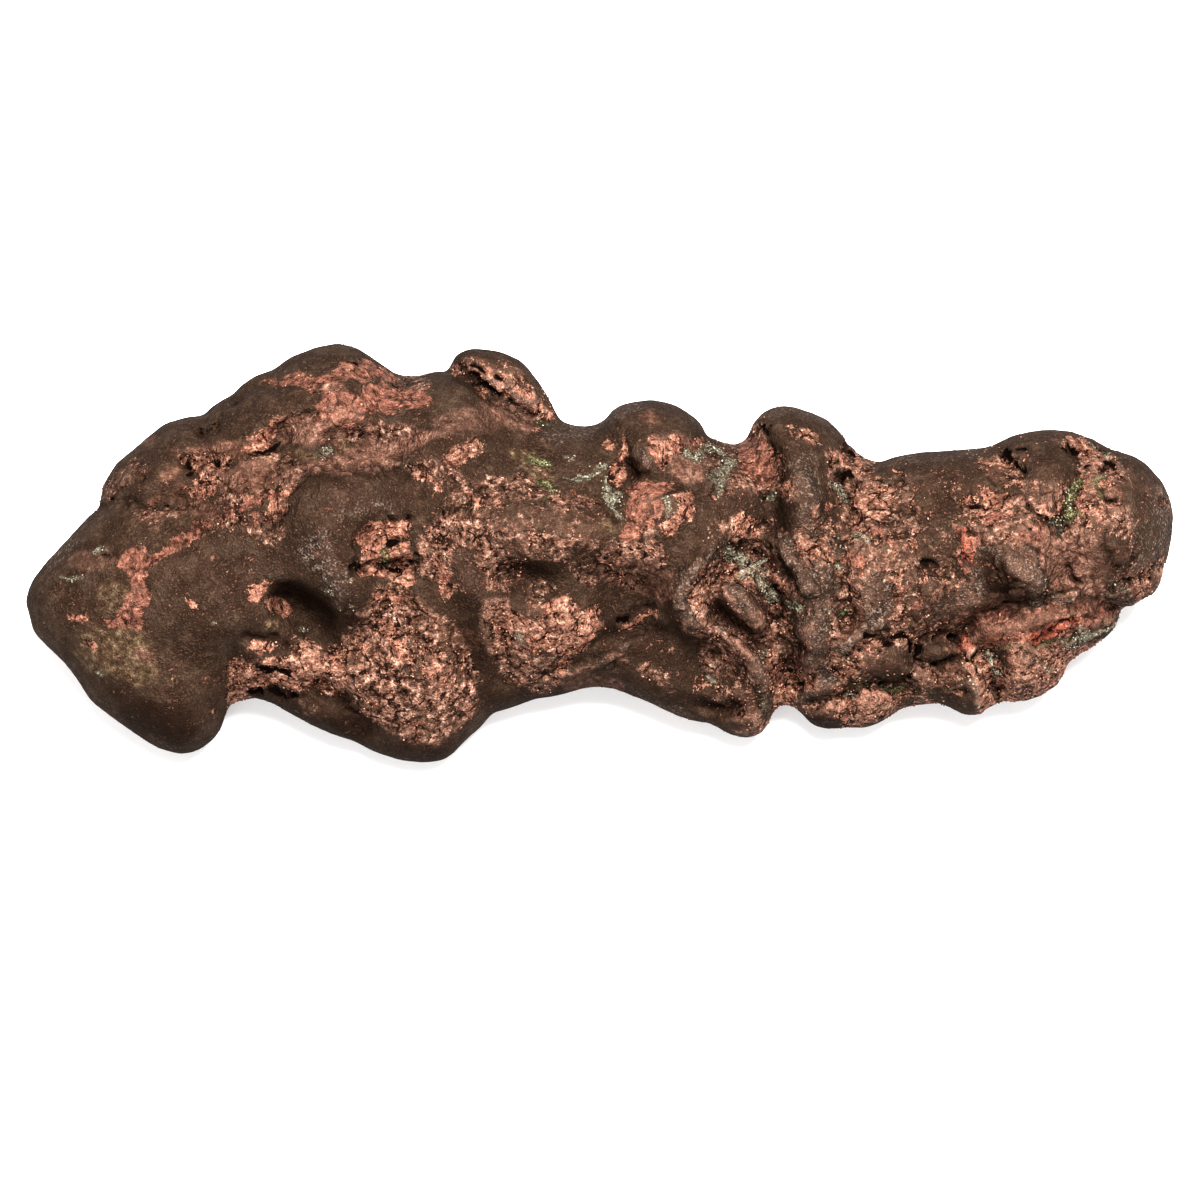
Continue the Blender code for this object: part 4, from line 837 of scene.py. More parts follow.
# the third knob, its grey partly painted sheen and its lower left painted shade
area("grey_wear_and_sheen", 0.8, 50, 1.2, 53, 1.7, 56, 1.4, 57.6, -0.3, 58.7, -2.6, 58.7, -5, 58.2, -6.8, 56, -7,
    53.6, -6.8, 50.4, -6.3, 49.2, -3, 49, -0.6)
area("dark", 0.9, 51.2, -0.6, 53.2, -1.2, 54.6, -3, 56, -4.6, 54.8, -6.2, 52.6, -6.6, 50.8, -6, 50, -3.8,
    50.2, -2)
streak("rosy", 0.5, 0.6, 53, 1, 55.4, 0.6, 57, -0.6)
streak("copper", 0.7, 0.35, 50.8, -1.6, 51.6, -2)
streak("black", 0.8, 0.2, 50.6, -1.2, 51.2, -1.3)
# a pale line along the knob's lit right rim, painted highlight
streak("crust", 0.5, 0.18, 57.5, -0.6, 58.4, -2.4, 58.4, -4.8)
# the recess below it
area("plate", 1, 50.4, -6.5, 52.6, -7.1, 55, -7.3, 57, -6.9, 58.4, -7.1, 61, -6.9, 62.4, -6.1, 64.4, -5.5,
    66, -5.7, 68, -6.7, 67.6, -8, 65, -9, 62, -9.5, 60.4, -10.5, 58, -11.3, 55, -11.8, 52, -12.3, 50.4, -12,
    49.4, -11, 49.7, -9)
streak("red", 1, 0.4, 57, -11.1, 58.6, -10.6, 60.6, -9.3, 62.4, -8.6)
streaks("black",
    (0.8, 0.18, 58.2, -10.9, 60, -9.7, 61.4, -9.2),
    (0.7, 0.16, 63, -8.2, 65, -7.8, 67.2, -6.9))
area("crust", 0.75, 60.6, -10.9, 63, -10, 65.6, -9.2, 68, -8.6, 67.6, -9.6, 64.4, -11, 62.4, -12.3,
    61, -12.7)
streak("moss", 0.7, 0.28, 51.6, -12.4, 54.6, -12, 58.4, -11.8, 60, -11)
streak("black", 0.7, 0.16, 57.6, -11.6, 60.4, -11, 64, -9.7, 66.6, -8.9)
streaks("grey_wear_and_sheen",
    (0.85, 0.65, 60, -5.6, 61.8, -6),
    (0.8, 0.7, 66, -5.3, 68, -6, 69.8, -5.8))
streaks("black",
    (1, 0.35, 58.8, -6.2, 59.6, -5.4),
    (0.8, 0.13, 59.8, -5, 62, -4, 62.6, -3.8),
    (0.7, 0.16, 62.6, -6.1, 65, -5.3, 66.2, -4.9))
# the heel, the shelf and the second tooth
area("rough", 0.8, 70.6, -2.8, 73, -1, 74.6, -0.4, 74.6, -2.4, 73.6, -4.6, 71.4, -5.9, 69.6, -5.4, 70, -4)
streak("patina", 0.8, 0.6, 72.6, -3, 72.8, -4)
streaks("black",
    (0.9, 0.2, 71.4, -3.3, 72.4, -2.2, 73.6, -1.2),
    (0.7, 0.16, 70.6, -4.3, 71.6, -2.8),
    (0.95, 0.28, 68.2, -2.9, 69, -3.4),
    (0.8, 0.2, 66.2, -5.4, 66.6, -5.8))
streaks("crust",
    (0.7, 0.25, 69.6, -0.9, 70, -1.9),
    (0.5, 0.5, 67, -3.6, 68.6, -4.6))
area("rough", 0.8, 50.4, -12.9, 54, -12.5, 58, -12.3, 61, -12.2, 62.6, -12.4, 65.8, -10.8, 65.4, -12,
    61.4, -14.2, 60.6, -16, 59, -18, 56, -19.2, 53, -19.2, 51.6, -17.4, 50.6, -15)
streak("patina", 0.8, 0.8, 52.8, -13.2, 53.6, -14.4)
streak("dark", 0.75, 0.9, 54.6, -17, 56.4, -17.7)
streak("grey_wear_and_sheen", 0.5, 0.8, 55.4, -13.4, 57.6, -13.6)
streaks("crust",
    (0.85, 0.42, 51, -12.8, 51.2, -14.4, 52.4, -15.6),
    (0.5, 0.5, 58.6, -14.6, 59.8, -15.6))
streaks("black",
    (0.9, 0.28, 52.2, -17.4, 52.8, -17.7),
    (0.8, 0.16, 56.8, -13, 57.4, -12.8))
# painted shade along the shelf's lower edge
streak("dark", 0.6, 0.6, 53, -19.4, 57, -19, 60, -17.4, 61.4, -14.8)
area("rough", 0.85, 47.8, -13, 49.6, -12.6, 50.6, -14, 51, -16, 51.9, -18.6, 50.8, -20.6, 49.5, -20.4,
    49.2, -17.6, 48.2, -15.4)
streak("crust", 0.8, 0.28, 48.2, -16.5, 49.2, -18, 49.6, -19.8)
streaks("black",
    (0.8, 0.2, 48.2, -13.7, 49.8, -12.9),
    (0.8, 0.2, 51.3, -16.6, 51.8, -18.2),
    (0.8, 0.15, 49.3, -14, 49.7, -16))
streak("plate", 0.95, 0.55, 47.5, -12.5, 48.6, -11.6, 49.6, -11)
area("patina", 0.85, 41.6, -18, 44, -17.5, 46, -16.2, 48, -16.2, 48.9, -18.4, 49.4, -20.6, 48, -21.4,
    45.6, -20, 44, -19)
streak("copper", 0.9, 0.32, 46, -18, 47.6, -18.2)
streak("black", 0.9, 0.24, 47.2, -17.9, 47.9, -18.3)
streak("crust", 0.6, 0.2, 44.8, -18, 46.4, -17, 48, -16.7)
streak("rusty", 0.5, 1.2, 44.6, -15.8, 46.6, -15)
area("patina", 0.9, 41.8, -13, 42.6, -12, 44, -11.3, 45.6, -11.1, 46.9, -11.7, 46.5, -13, 45.4, -14.3,
    43.6, -14.2, 42.2, -13.6)
streak("rosy", 0.7, 0.6, 45.8, -12.2, 46.4, -12.2)
streaks("black",
    (1, 0.26, 44, -10.9, 45.2, -10.2, 46.4, -10.9, 47.4, -11.7, 47.2, -12.8),
    (0.95, 0.22, 44.8, -15, 46.2, -13.9, 47.3, -13.4),
    (0.95, 0.24, 43.4, -11.2, 41.8, -12.3, 41.5, -13.2, 42.4, -14.1, 44, -14.5))
streak("copper", 0.9, 0.3, 44.2, -10.9, 44.8, -10.6)

# %% [markdown]
# Last come the broad tones that lie over all this: soft blushes, partly the skin's own pink and partly
# painted light laid where it lies in shade, and dark brown dips, partly darker patina and partly painted
# shade along the lower and outer edges, in hollows and under steps. They are wide and weak, so the strokes
# under them still show.

# %% Paint the broad tones
# blushes, partly the skin's pink and partly painted light where the skin lies in shade
streaks("rosy",
    (0.75, 2.4, 60, 1, 60.5, -1.5, 64.5, -3),
    (0.7, 2.2, 1.6, -1, 5, -2.8, 9, -4.2),
    (0.7, 1.6, 46.6, -7.6, 49.4, -8.4, 54.6, -6),
    (0.6, 1.4, -12.6, 19.2, -9.4, 17.4),
    (0.7, 1.6, -40.6, 16.4, -34.8, 15.6),
    (0.6, 0.8, -4, -17, 0, -16.6, 2.6, -17))
streaks("mottle",
    (0.5, 1.6, -13, -1, -9, 0.4, -4.6, 1),
    (0.7, 1.3, 14.6, -2.4, 16.8, 1.4),
    (0.5, 1, -26.6, 22.4, -23, 22.6))
streaks("rough",
    (0.6, 1.2, -34.4, -12.8, -32, -13.4),
    (0.5, 1.2, -36, -16.6, -34, -17.2))
streak("rosy", 0.5, 1.3, 14.4, -5.6, 15.4, -7, 20, -9.4)
streaks("patina",
    (0.75, 1.9, -17.4, -1, -16.8, -4.6),
    (0.7, 2.2, -36.6, 9, -33.8, 6.6),
    (0.45, 2, -12, 5.4, -4, 4.2, 1.6, 4),
    (0.4, 1.8, 49, 9.4, 58.6, 10),
    (0.5, 1.5, 52.4, 15, 57.4, 15.8),
    (0.6, 0.8, -38.6, -18.6, -36, -19.6, -34, -21.4),
    (0.6, 1, 50, 14, 54.4, 13.6),
    (0.6, 1.4, 22.4, 2.4, 25.4, -1, 28, -5, 29.4, -9, 28.6, -13),
    (0.25, 1.4, 17, 13, 15.6, 9))
streaks("rusty",
    (0.6, 2, -48, 9.6, -44.4, 10.6),
    (0.6, 1.4, 51, -8.6, 55, -8.8, 60, -8.4))
streak("mottle", 0.6, 1.6, 1, -0.6, 4.4, -2.8)
streak("rough", 0.4, 1.2, 2, -1.2, 3.6, -3.4)
# grey, partly worn patina and partly painted sheen on rims and crests
streaks("grey_wear_and_sheen",
    (0.6, 0.7, 72.6, 6, 73.6, 1.6, 72.6, -2),
    (0.6, 0.8, -0.6, 17, 2, 18.4, 5, 19.6),
    (0.6, 1, -71.6, -1, -69, 2),
    (0.6, 0.8, 8, -20.2, 11.6, -21.4),
    (0.5, 1.3, -6, 16, -2, 16.2),
    (0.6, 1.2, 24.4, 0.2, 27, -3.4, 28.8, -7, 29.2, -10, 28, -13.4),
    (0.4, 1.5, 27, 12, 27.4, 6, 30.4, 1))
streak("patina", 0.6, 1.4, 70.6, 10.4, 72, 6, 71.6, 0)
# painted shade along the lower and outer edges and in hollows, with some darker patina
streaks("dark",
    (1, 2.2, -60, -21, -55, -23, -53.4, -21),
    (1, 0.8, -38, -19.4, -34.6, -22, -30, -24.6),
    (0.9, 1.4, 13.6, -17.6, 16.6, -22, 19.6, -23),
    (0.8, 1, 26.4, -21.6, 30.6, -22.2),
    (0.5, 1, 29.6, -20.6, 33, -19.6, 37, -19),
    (0.8, 1, -36, -20.6, -33, -22.4),
    (0.7, 1.5, -18.6, 25.4, -15.4, 26.6, -11.6, 25.4),
    (0.5, 0.8, -60.4, 0.4, -59.6, -3),
    (0.35, 1.4, -4.4, -6.4, -3.4, -8, -0.6, -8.4),
    (0.4, 1.5, -46.6, 12, -43.6, 10.4))
streaks("red",
    (0.5, 0.9, 47.6, 2.6, 48.4, 1, 48.4, -0.6),
    (0.8, 0.5, 57.6, -10.2, 60, -9.4, 61.6, -8.8),
    (0.9, 0.7, 57.4, -10.6, 59.6, -9.8, 61.4, -9.0))
streaks("patina",
    (0.6, 1.6, 13.6, -19, 16.6, -22.4),
    (0.4, 1.2, -17, 26, -12, 25.6, -9.6, 22.6))
# painted shade in the valley at the middle's lower side
streaks("dark",
    (0.8, 1.6, 6, -12, 9.6, -15, 10.6, -17),
    (0.25, 1.8, 50.4, 4, 54, 4.4))
area("patina", 0.75, 42.6, 14, 50, 12.4, 50.6, 9.6, 46, 8.4, 43.4, 6, 41, 8, 40.6, 12)
area("patina", 0.8, 54.4, 16.4, 60, 15.4, 63.4, 12.6, 62, 9.6, 58.6, 9.2, 55.4, 11, 53, 14)
area("patina", 0.5, 42, 5.4, 46, 5, 46.6, 1, 44, -2, 41.6, 0)
area("patina", 0.55, 64.4, 4.6, 68.4, 3, 69.4, -1, 67, -4.4, 64.6, -2.4)
area("patina", 0.6, 39, -11.6, 41.4, -13.6, 41, -15.8, 37, -15.6, 34.8, -14)
area("patina", 0.5, 68.6, 10, 71, 8, 71, 3, 69, 4)
streaks("black",
    (0.9, 0.34, 52, 12.6, 53.4, 12.6, 54.6, 11.6, 56, 11),
    (0.9, 0.3, 54.6, 13.6, 55.8, 13.9),
    (1, 0.4, 53.2, 13.4, 53.6, 12.4),
    (0.9, 0.3, 61.2, 14.4, 62, 13.8, 62.4, 12.8),
    (0.9, 0.34, 66, 12.2, 66.8, 11.8),
    (0.9, 0.24, 48.4, 6.6, 50, 5.9, 51.6, 5.8, 53, 6.4),
    (0.9, 0.2, 47.4, 7.2, 48.6, 6.6),
    (0.8, 0.24, 41.6, -13.4, 42, -12, 43.4, -10.9, 45, -10.4, 46.4, -10.9, 47, -11.6),
    (0.9, 0.26, 42, -13.8, 43.6, -14, 45.4, -13.6),
    (0.9, 0.3, 35, -10.6, 37.4, -10.9, 39.8, -10.4, 40.6, -12, 40.8, -14.4),
    (0.8, 0.24, 56.4, 5.8, 58.6, 5.2, 59.8, 3.8),
    (0.9, 0.3, 59, -5.2, 60.6, -5.8),
    (0.7, 0.3, 51.2, -5.6, 53.4, -6.4, 56, -6.2))
streak("red", 0.6, 0.7, 47.8, -11.8, 49.6, -10.2)
streaks("rusty",
    (0.7, 1.2, 49.6, -10.6, 52, -8.6, 56, -8.6, 61, -7.6, 64, -7),
    (0.6, 1.1, 50, -7.6, 52.4, -8))
streak("grey_wear_and_sheen", 0.5, 1.2, 74.6, 4, 75, 0)
streak("patina", 0.75, 0.8, 16, 2.6, 13.2, -0.6, 11, -3.6, 10.4, -7, 12.2, -9.2)
streak("grey_wear_and_sheen", 0.75, 0.7, 16, 1.2, 13.4, -1.2, 11.2, -3.8, 10.9, -6.8, 12.8, -9)
streaks("crust",
    (0.55, 1.0, 17, 0.5, 19.5, -1, 21.5, -3.5, 22.5, -5.5),
    (0.5, 0.9, 59.8, 4.2, 60.4, 3.6))
# painted shade in the shadowed hollow at the third knob's lower left
streaks("dark",
    (1, 1.5, 51, -0.8, 52.4, -3.8, 55, -5.2),
    (0.8, 0.9, 51.6, -3.4, 54.4, -5.2))
streaks("plate",
    (0.55, 0.7, -52.5, 3.2, -49, 5, -45.5, 6.6, -42, 8.6),
    (0.4, 1, -45, 4.6, -43, 4.8, -41, 6.4))
area("patina", 0.25, 34, 9, 42, 12, 50, 9, 49, -6, 44, -8, 36, -7.6)
streak("plate", 0.6, 1.2, 50, -8.6, 52.6, -8)
streak("grey_wear_and_sheen", 0.5, 1, 44, -8, 47, -6.4, 49.4, -4.4)
streaks("red",
    (0.7, 0.7, 47.9, 3, 48.5, 0.4),
    (0.5, 0.5, 57.4, -10.4, 59.6, -9.6, 61.4, -9))
streaks("black",
    (1, 0.35, 43, -1.6),
    (0.45, 0.3, -42.6, 3, -40.8, 7.6, -38, 10.4, -34, 11.6, -29, 11.6, -25, 10))
# painted shade under the dome's step
streak("dark", 0.7, 0.8, -42, 2.4, -40, 7, -37.4, 9.6, -34, 10.8, -29, 10.8)
streak("rosy", 0.6, 0.6, -41.4, 9, -38.4, 11.6, -34, 12.8, -29, 12.6)

# %% [markdown]
# The creases, ledges and small lumps that the solid part is too coarse to hold. Each is a line on the
# drawing, with the height it raises (or, below zero, cuts) and its half width. Cuts are narrow and deep;
# rolls of metal are broad and low. Where a smooth skin ends in a lip, a raised line and a cut line lie side
# by side.

# %% Draw the fine relief
RELIEF = []


def raised(height, half_width, *line):
    RELIEF.append((height, half_width, pairs(line)))


def cut(depth, half_width, *line):
    RELIEF.append((-depth, half_width, pairs(line)))


# the left end
cut(0.35, 0.7, -66, 6.2, -62, 6.6, -59, 6.1, -57, 6.4, -54.5, 6.9)
raised(0.3, 0.8, -59, 7.4, -56.5, 8.2, -54.5, 8.4)
cut(0.5, 0.7, -54.2, 12.6, -53.5, 11, -53, 10)
cut(0.4, 0.5, -51.8, 12.3, -50.4, 12.5, -49.5, 12, -48.2, 12.2)
raised(0.3, 0.7, -51, 11.4, -49.6, 10.9, -48.6, 12.8)
cut(0.5, 0.6, -51.9, 16.2, -50.6, 16.7, -50, 17)
cut(0.35, 0.8, -50, 17.4, -47.5, 20, -46, 21.6, -43, 22.6)
raised(0.35, 0.9, -48, 18.4, -45.8, 20.6, -42.6, 21.6, -38.4, 20.6)
cut(0.7, 0.6, -45.2, 13.5, -43.4, 13.7, -42, 14.5, -40.7, 15.4)
cut(0.45, 0.45, -42.2, 16.3, -41.2, 16.6, -40.5, 17.3, -39, 17.9, -37.2, 18.7)
cut(0.3, 0.5, -65.8, -0.2, -64.6, 0.1, -63.4, 0.4)
raised(0.25, 0.7, -66.4, 1, -64.6, 1.3, -63, 1.2)
cut(0.25, 0.6, -70, -3, -67.6, -2.6, -65, -3.7)
cut(0.3, 0.6, -64, 7.4, -62.6, 9, -60.6, 9.8, -60, 10.6)
cut(0.4, 0.6, -59.2, -3.8, -58.6, -4.6, -58.3, -5.8, -59.6, -7.2)
# the dome, its arc and the pocket
raised(0.55, 0.45, -39.4, 9.4, -37.2, 11, -35, 10.8, -31, 10.6, -28, 11, -25.7, 12)
cut(0.5, 0.5, -39.6, 10.4, -37.4, 11.9, -35, 11.6, -31, 11.4, -28.2, 11.8, -26, 12.9)
cut(0.5, 0.5, -28.4, 5.1, -26.8, 4.7, -25.3, 4.7, -25, 5.3)
cut(1, 0.55, -31.9, -1.9, -30.5, -1.6, -28.8, -1.5, -27.6, -1.9, -26.4, -1.9, -24.4, -1)
cut(0.6, 0.6, -32.2, 1.6, -31, 0.4, -31.6, -1)
raised(0.45, 0.6, -33.2, 2.4, -32.4, 0.2, -32.6, -2)
cut(0.5, 0.6, -28.3, 1.4, -27, 1.1, -25.4, 1.4)
cut(0.45, 0.6, -24.6, 3.6, -24.4, 0.6, -23.6, -2.4, -22.2, -5)
cut(0.5, 0.8, -41, -4.6, -39.6, -7.6, -38, -10)
cut(0.5, 0.7, -46.5, -10.9, -43, -10.7, -40.5, -11.8, -39.4, -12.7)
raised(0.4, 0.8, -45.6, -12, -43.4, -11.9)
raised(0.5, 0.9, -46.6, -16.2, -44.2, -14.4, -41.4, -13.8, -38.4, -12.6)
cut(0.8, 0.6, -44.9, -14.5, -43.5, -15.4, -42, -14.9, -40.8, -15.5, -40, -16)
cut(0.8, 0.7, -45, -18, -43.5, -17.4, -42, -18, -41, -18.6, -39, -18.2)
cut(0.9, 0.9, -38.8, -17.8, -37, -17.5, -36, -18.4)
cut(0.8, 1.1, -34, -19, -32.4, -20.8, -30, -22.6)
# the flap
cut(1.3, 0.6, -17.3, 23.1, -16, 22.8, -14.6, 22.1, -13.8, 21.3, -12.9, 20.6)
cut(0.8, 0.45, -12.9, 20.6, -12, 19.9, -10.8, 18.6, -9.2, 17.4)
cut(1, 0.6, -17.1, 25, -16, 24.5, -15.2, 23.9)
cut(0.7, 0.5, -13.8, 23.3, -12.7, 23.1)
cut(0.6, 0.5, -9.9, 22.9, -9.2, 22.6)
raised(0.5, 0.6, -18.4, 23.9, -16.4, 23.8, -14.4, 23, -12.8, 21.6)
# the first knob
cut(0.5, 0.8, 4, 11.6, 5, 10.2, 6.4, 10)
raised(0.45, 0.9, 4.4, 15, 4.3, 12.9)
cut(0.35, 0.5, 8.6, 10.8, 9.2, 12.4, 10, 13.4)
raised(0.35, 1.4, 11.6, 10.8, 12.6, 10.6)
raised(0.4, 0.9, 10.6, 7.2, 11.8, 6.4, 11.2, 4.6, 9.4, 3.2)
cut(0.35, 0.7, 8.8, 6.8, 9.2, 5.8)
cut(0.4, 0.5, 0.6, 6.2, 1.4, 5.5, 2.2, 4.9)
raised(0.4, 0.7, -4.5, 8.8, -1.6, 9.1, 0.4, 8.8)
cut(0.3, 0.5, -4.2, 10.2, -2.4, 9.9, -0.4, 9.9, 1.2, 9.2)
# the middle's lower side
raised(0.4, 0.9, -6.4, -6.4, -4.2, -5.8)
raised(0.45, 0.9, -1.6, -7.6, -0.6, -9, -1.4, -10.6)
raised(0.3, 0.5, 3.2, -8.9, 5, -8.3, 7.3, -7.8)
cut(0.4, 0.5, 2.2, -8.3, 4.2, -7.9, 7, -7.2)
raised(0.45, 0.6, -7.4, -16.6, -4, -15.2, 0, -14.2, 2.4, -13, 5.6, -11)
cut(0.4, 0.5, -3.4, -14.4, 0, -13.4, 1.8, -12.6)
cut(0.35, 0.5, 1.9, -15.4, 2.6, -14, 4.6, -12.6)
raised(0.4, 0.5, 10, -5.4, 10.8, -7.4, 11.8, -8.8)
raised(0.4, 0.5, 12.3, -2.4, 12.8, -0.8, 13.8, 0.8)
raised(0.3, 0.6, 12.6, -4.6, 14.4, -3.6)
# the second knob and its crevices
cut(0.5, 0.6, 21.5, 16.8, 22.4, 16, 22.6, 14.6, 23.4, 12.4)
cut(1.6, 0.75, 32.5, 13.9, 33.2, 12.8)
cut(1.3, 0.6, 30.9, 12, 31.5, 11, 31.9, 10)
cut(1.6, 0.8, 32.4, 10.5, 33.6, 9.5)
cut(0.6, 0.5, 31.4, 9.6, 32.6, 8, 33.2, 6.4, 33.4, 4.6)
raised(0.4, 0.7, 26.6, 15.8, 28.4, 15.2)
raised(0.4, 0.6, 24.1, 8.4, 25.1, 9.2)
cut(0.5, 0.5, 21.1, 8.6, 21.8, 7.5, 22.6, 8.2, 23.6, 8.6, 24.3, 9.9)
raised(0.3, 0.5, 28.6, 6.5, 28.2, 5.4, 28.9, 5.1)
raised(0.3, 0.5, 30, 6, 30.1, 5)
cut(0.5, 0.4, 21.6, 4.5, 21.9, 4.1)
raised(0.5, 0.9, 35.9, 3.9, 37.2, 3)
raised(0.4, 0.8, 18.4, 4.4, 19.6, 3.4)
# the central hollow and its ridges
raised(0.5, 0.6, 24, 2.6, 25.4, -0.4, 27.2, -3, 28.6, -4.8)
cut(0.6, 0.9, 18, 1.6, 21, 1.2, 23.6, 0.2, 25, -1.8, 25.4, -4.4)
cut(0.9, 0.5, 20.8, -0.4, 21.5, -1.4, 22.2, -3, 22.8, -4.6)
cut(0.7, 0.5, 23.2, -4.1, 23.5, -5.2)
raised(0.7, 0.7, 23.3, -2.8, 24, -3.6)
raised(0.5, 0.7, 18.8, -2.5, 20.2, -1.8, 21, -1.4)
raised(0.4, 0.7, 15.9, -0.4, 15.8, -2.6)
raised(0.4, 0.5, 17.4, -4.4, 19.4, -6, 20.2, -8.2, 20.6, -9.6)
raised(0.5, 0.6, 16, -9.6, 18.6, -12, 20.6, -14, 21.4, -17, 22, -20)
cut(0.8, 0.7, 17.4, -13.8, 18.6, -14.2)
cut(0.8, 0.5, 14, -20, 15.6, -19.7)
cut(1, 0.6, 17, -20, 18.6, -20.6)
cut(0.6, 0.5, 26.4, -17.2, 27.7, -16.1)
cut(0.5, 0.5, 25.3, -16.4, 26, -17.5)
cut(0.7, 0.5, 29.2, -7.1, 29.6, -7.6)
cut(0.5, 0.5, 26.8, -5.8, 28, -5.7)
cut(0.5, 0.4, 32.1, -9.6, 32.8, -9.8)
# the hips
raised(0.5, 0.6, 29.4, -15.8, 31.6, -12.8, 33.6, -10.9, 35.4, -9.3, 37.4, -8)
cut(0.6, 0.5, 34.2, -15.7, 36, -16.5, 38.6, -16.6, 40.7, -16.1, 40.9, -14)
cut(0.8, 0.6, 36.8, -11.4, 38.2, -11.9)
cut(0.6, 0.5, 34.4, -12.1, 34.9, -12.4)
cut(0.5, 0.5, 27.6, -19.3, 29.4, -19.2, 31.6, -18.4)
raised(0.5, 0.9, 30.6, -19.6, 34, -18.6, 38, -18.4)
cut(0.9, 0.6, 42.7, -1.4, 43.6, -1.7)
raised(0.4, 0.7, 41.4, -6.4, 41.9, -6.2)
cut(0.7, 0.45, 44, -10.9, 45.2, -10.2, 46.4, -10.9, 47.4, -11.7, 47.2, -13, 46.2, -13.9, 44.8, -15)
cut(0.7, 0.45, 43.4, -11.2, 41.8, -12.3, 41.5, -13.2, 42.4, -14.1, 44, -14.5)
raised(0.5, 0.5, 44.8, -18, 46.4, -17, 48, -16.7, 49.2, -18, 49.7, -20)
cut(0.6, 0.5, 47.2, -17.9, 47.9, -18.3)
# the barrel and the crown
cut(0.8, 0.4, 39.3, 10.9, 39.9, 9.8, 40, 8.6)
raised(0.35, 0.5, 43.6, 10.4, 45, 11.4, 46.6, 11.2, 47.2, 9.6)
cut(0.35, 0.6, 45.4, 9.4, 46.2, 10.4)
cut(0.45, 0.4, 47.9, 6.9, 49.6, 6.6, 51.6, 5.8)
raised(0.35, 0.8, 47.4, 3.2, 48.4, 1, 48.2, -1.6)
cut(1.3, 0.7, 53, 13.1, 53.6, 12.4, 54.3, 11.8)
cut(0.7, 0.45, 54.9, 13.1, 56, 13.9)
cut(0.8, 0.5, 54.4, 11.8, 55.4, 11.2, 56.4, 10.8)
cut(0.4, 0.4, 50.5, 12.7, 52.4, 12.1)
cut(0.4, 0.4, 51.4, 9.8, 53.2, 9.1, 56, 8.6)
cut(0.8, 0.45, 60.7, 14.2, 61.4, 13.7, 63, 13.5)
cut(0.7, 0.5, 62.3, 13.2, 62.6, 12.4)
cut(0.6, 0.4, 65.3, 13.8, 66.6, 13.2)
cut(1, 0.5, 66.1, 11.8, 66.7, 12, 67.2, 11.6)
raised(0.4, 0.5, 64.4, 14.6, 65.8, 12.8, 67.4, 12.6)
cut(0.5, 0.8, 63, 10.4, 62, 8.2, 61.2, 5.8, 60.6, 3.4)
cut(0.6, 0.4, 56, 6.1, 57, 5.6, 58, 4.9, 59, 4.3)
raised(0.4, 0.6, 57.6, 5.7, 58.5, 6.2)
raised(0.4, 0.5, 59, 5.2, 60.1, 5.6)
cut(0.6, 0.45, 66.5, 7.5, 67.2, 7.1, 68, 6.8)
cut(0.4, 0.4, 68.4, 10.1, 69, 9.8)
cut(0.35, 0.4, 73.6, 7.2, 74.2, 6)
# the end
raised(0.6, 0.9, 67.6, 1.6, 68.6, 0.2, 68, -0.8)
cut(0.4, 0.5, 66.2, 2.8, 66, 0.8, 66.8, -1, 68.4, -2.4, 69.8, -1.4, 70, 0.6)
cut(0.9, 0.45, 61.5, -1.4, 61.5, -2.4, 62.1, -3.4, 62.7, -3.8)
raised(0.5, 0.6, 62.4, -2, 62.8, -2.8)
raised(0.3, 1, 56, 3.4, 58.4, 3.2)
cut(0.35, 0.4, 54.4, 1.4, 56, 1, 57.6, 0, 58.6, -2, 58.9, -4.8)
cut(0.9, 0.5, 58.8, -6.2, 59.6, -5.4)
cut(0.5, 0.4, 59.8, -5, 62, -4, 62.8, -3.8)
raised(0.6, 0.9, 60, -5.6, 61.8, -5.9)
raised(0.6, 0.9, 66, -5.2, 68, -5.8, 69.8, -5.6)
cut(0.7, 0.4, 57, -11.1, 58.6, -10.6, 60.6, -9.3, 62.4, -8.6)
cut(0.5, 0.4, 63, -8.2, 65, -7.8, 67.2, -6.9)
raised(0.4, 0.5, 51.8, -12.6, 54.6, -12.2, 58.4, -12, 60.4, -11.3, 64, -10, 67, -9)
cut(0.6, 0.45, 71.4, -3.3, 72.4, -2.2, 73.6, -1.2)
cut(0.5, 0.4, 70.6, -4.3, 71.6, -2.8)
cut(0.7, 0.45, 68.2, -2.9, 69, -3.4)
cut(0.6, 0.5, 52.2, -17.4, 52.8, -17.7)
cut(0.5, 0.6, 51.2, -13, 51.3, -15, 51.8, -18.2)
cut(0.4, 0.4, 48.2, -13.7, 49.8, -12.9)
raised(0.4, 0.8, 54.2, -16.2, 56.6, -16.6)
cut(1.1, 1.5, 51.6, -1.6, 52.6, -3.8, 54.6, -5)
raised(0.5, 0.7, 13.8, -0.8, 11.4, -3.6, 10.8, -7, 12.6, -9.2)
raised(0.5, 0.9, 24.4, 0.2, 27, -3.4, 28.8, -7, 29.2, -10)
cut(0.6, 0.5, -42.6, 3, -40.8, 7.6, -38, 10.4, -34, 11.6, -29, 11.6, -25, 10)
raised(0.5, 1.4, -40.6, 3, -39, 7, -36.6, 9, -33, 10, -29, 9.8)
print(len(RELIEF), "lines of relief and", len(PAINT), "strokes of paint")

# %% [markdown]
# The drawing only covers the side that the eye over it sees. The far side gets the same finishes in about
# the same shares, spread by noise in space instead of by hand, and the two meet in a soft band along the
# edge. The noise is read at each vertex's own place, so it runs on round the piece without a seam.

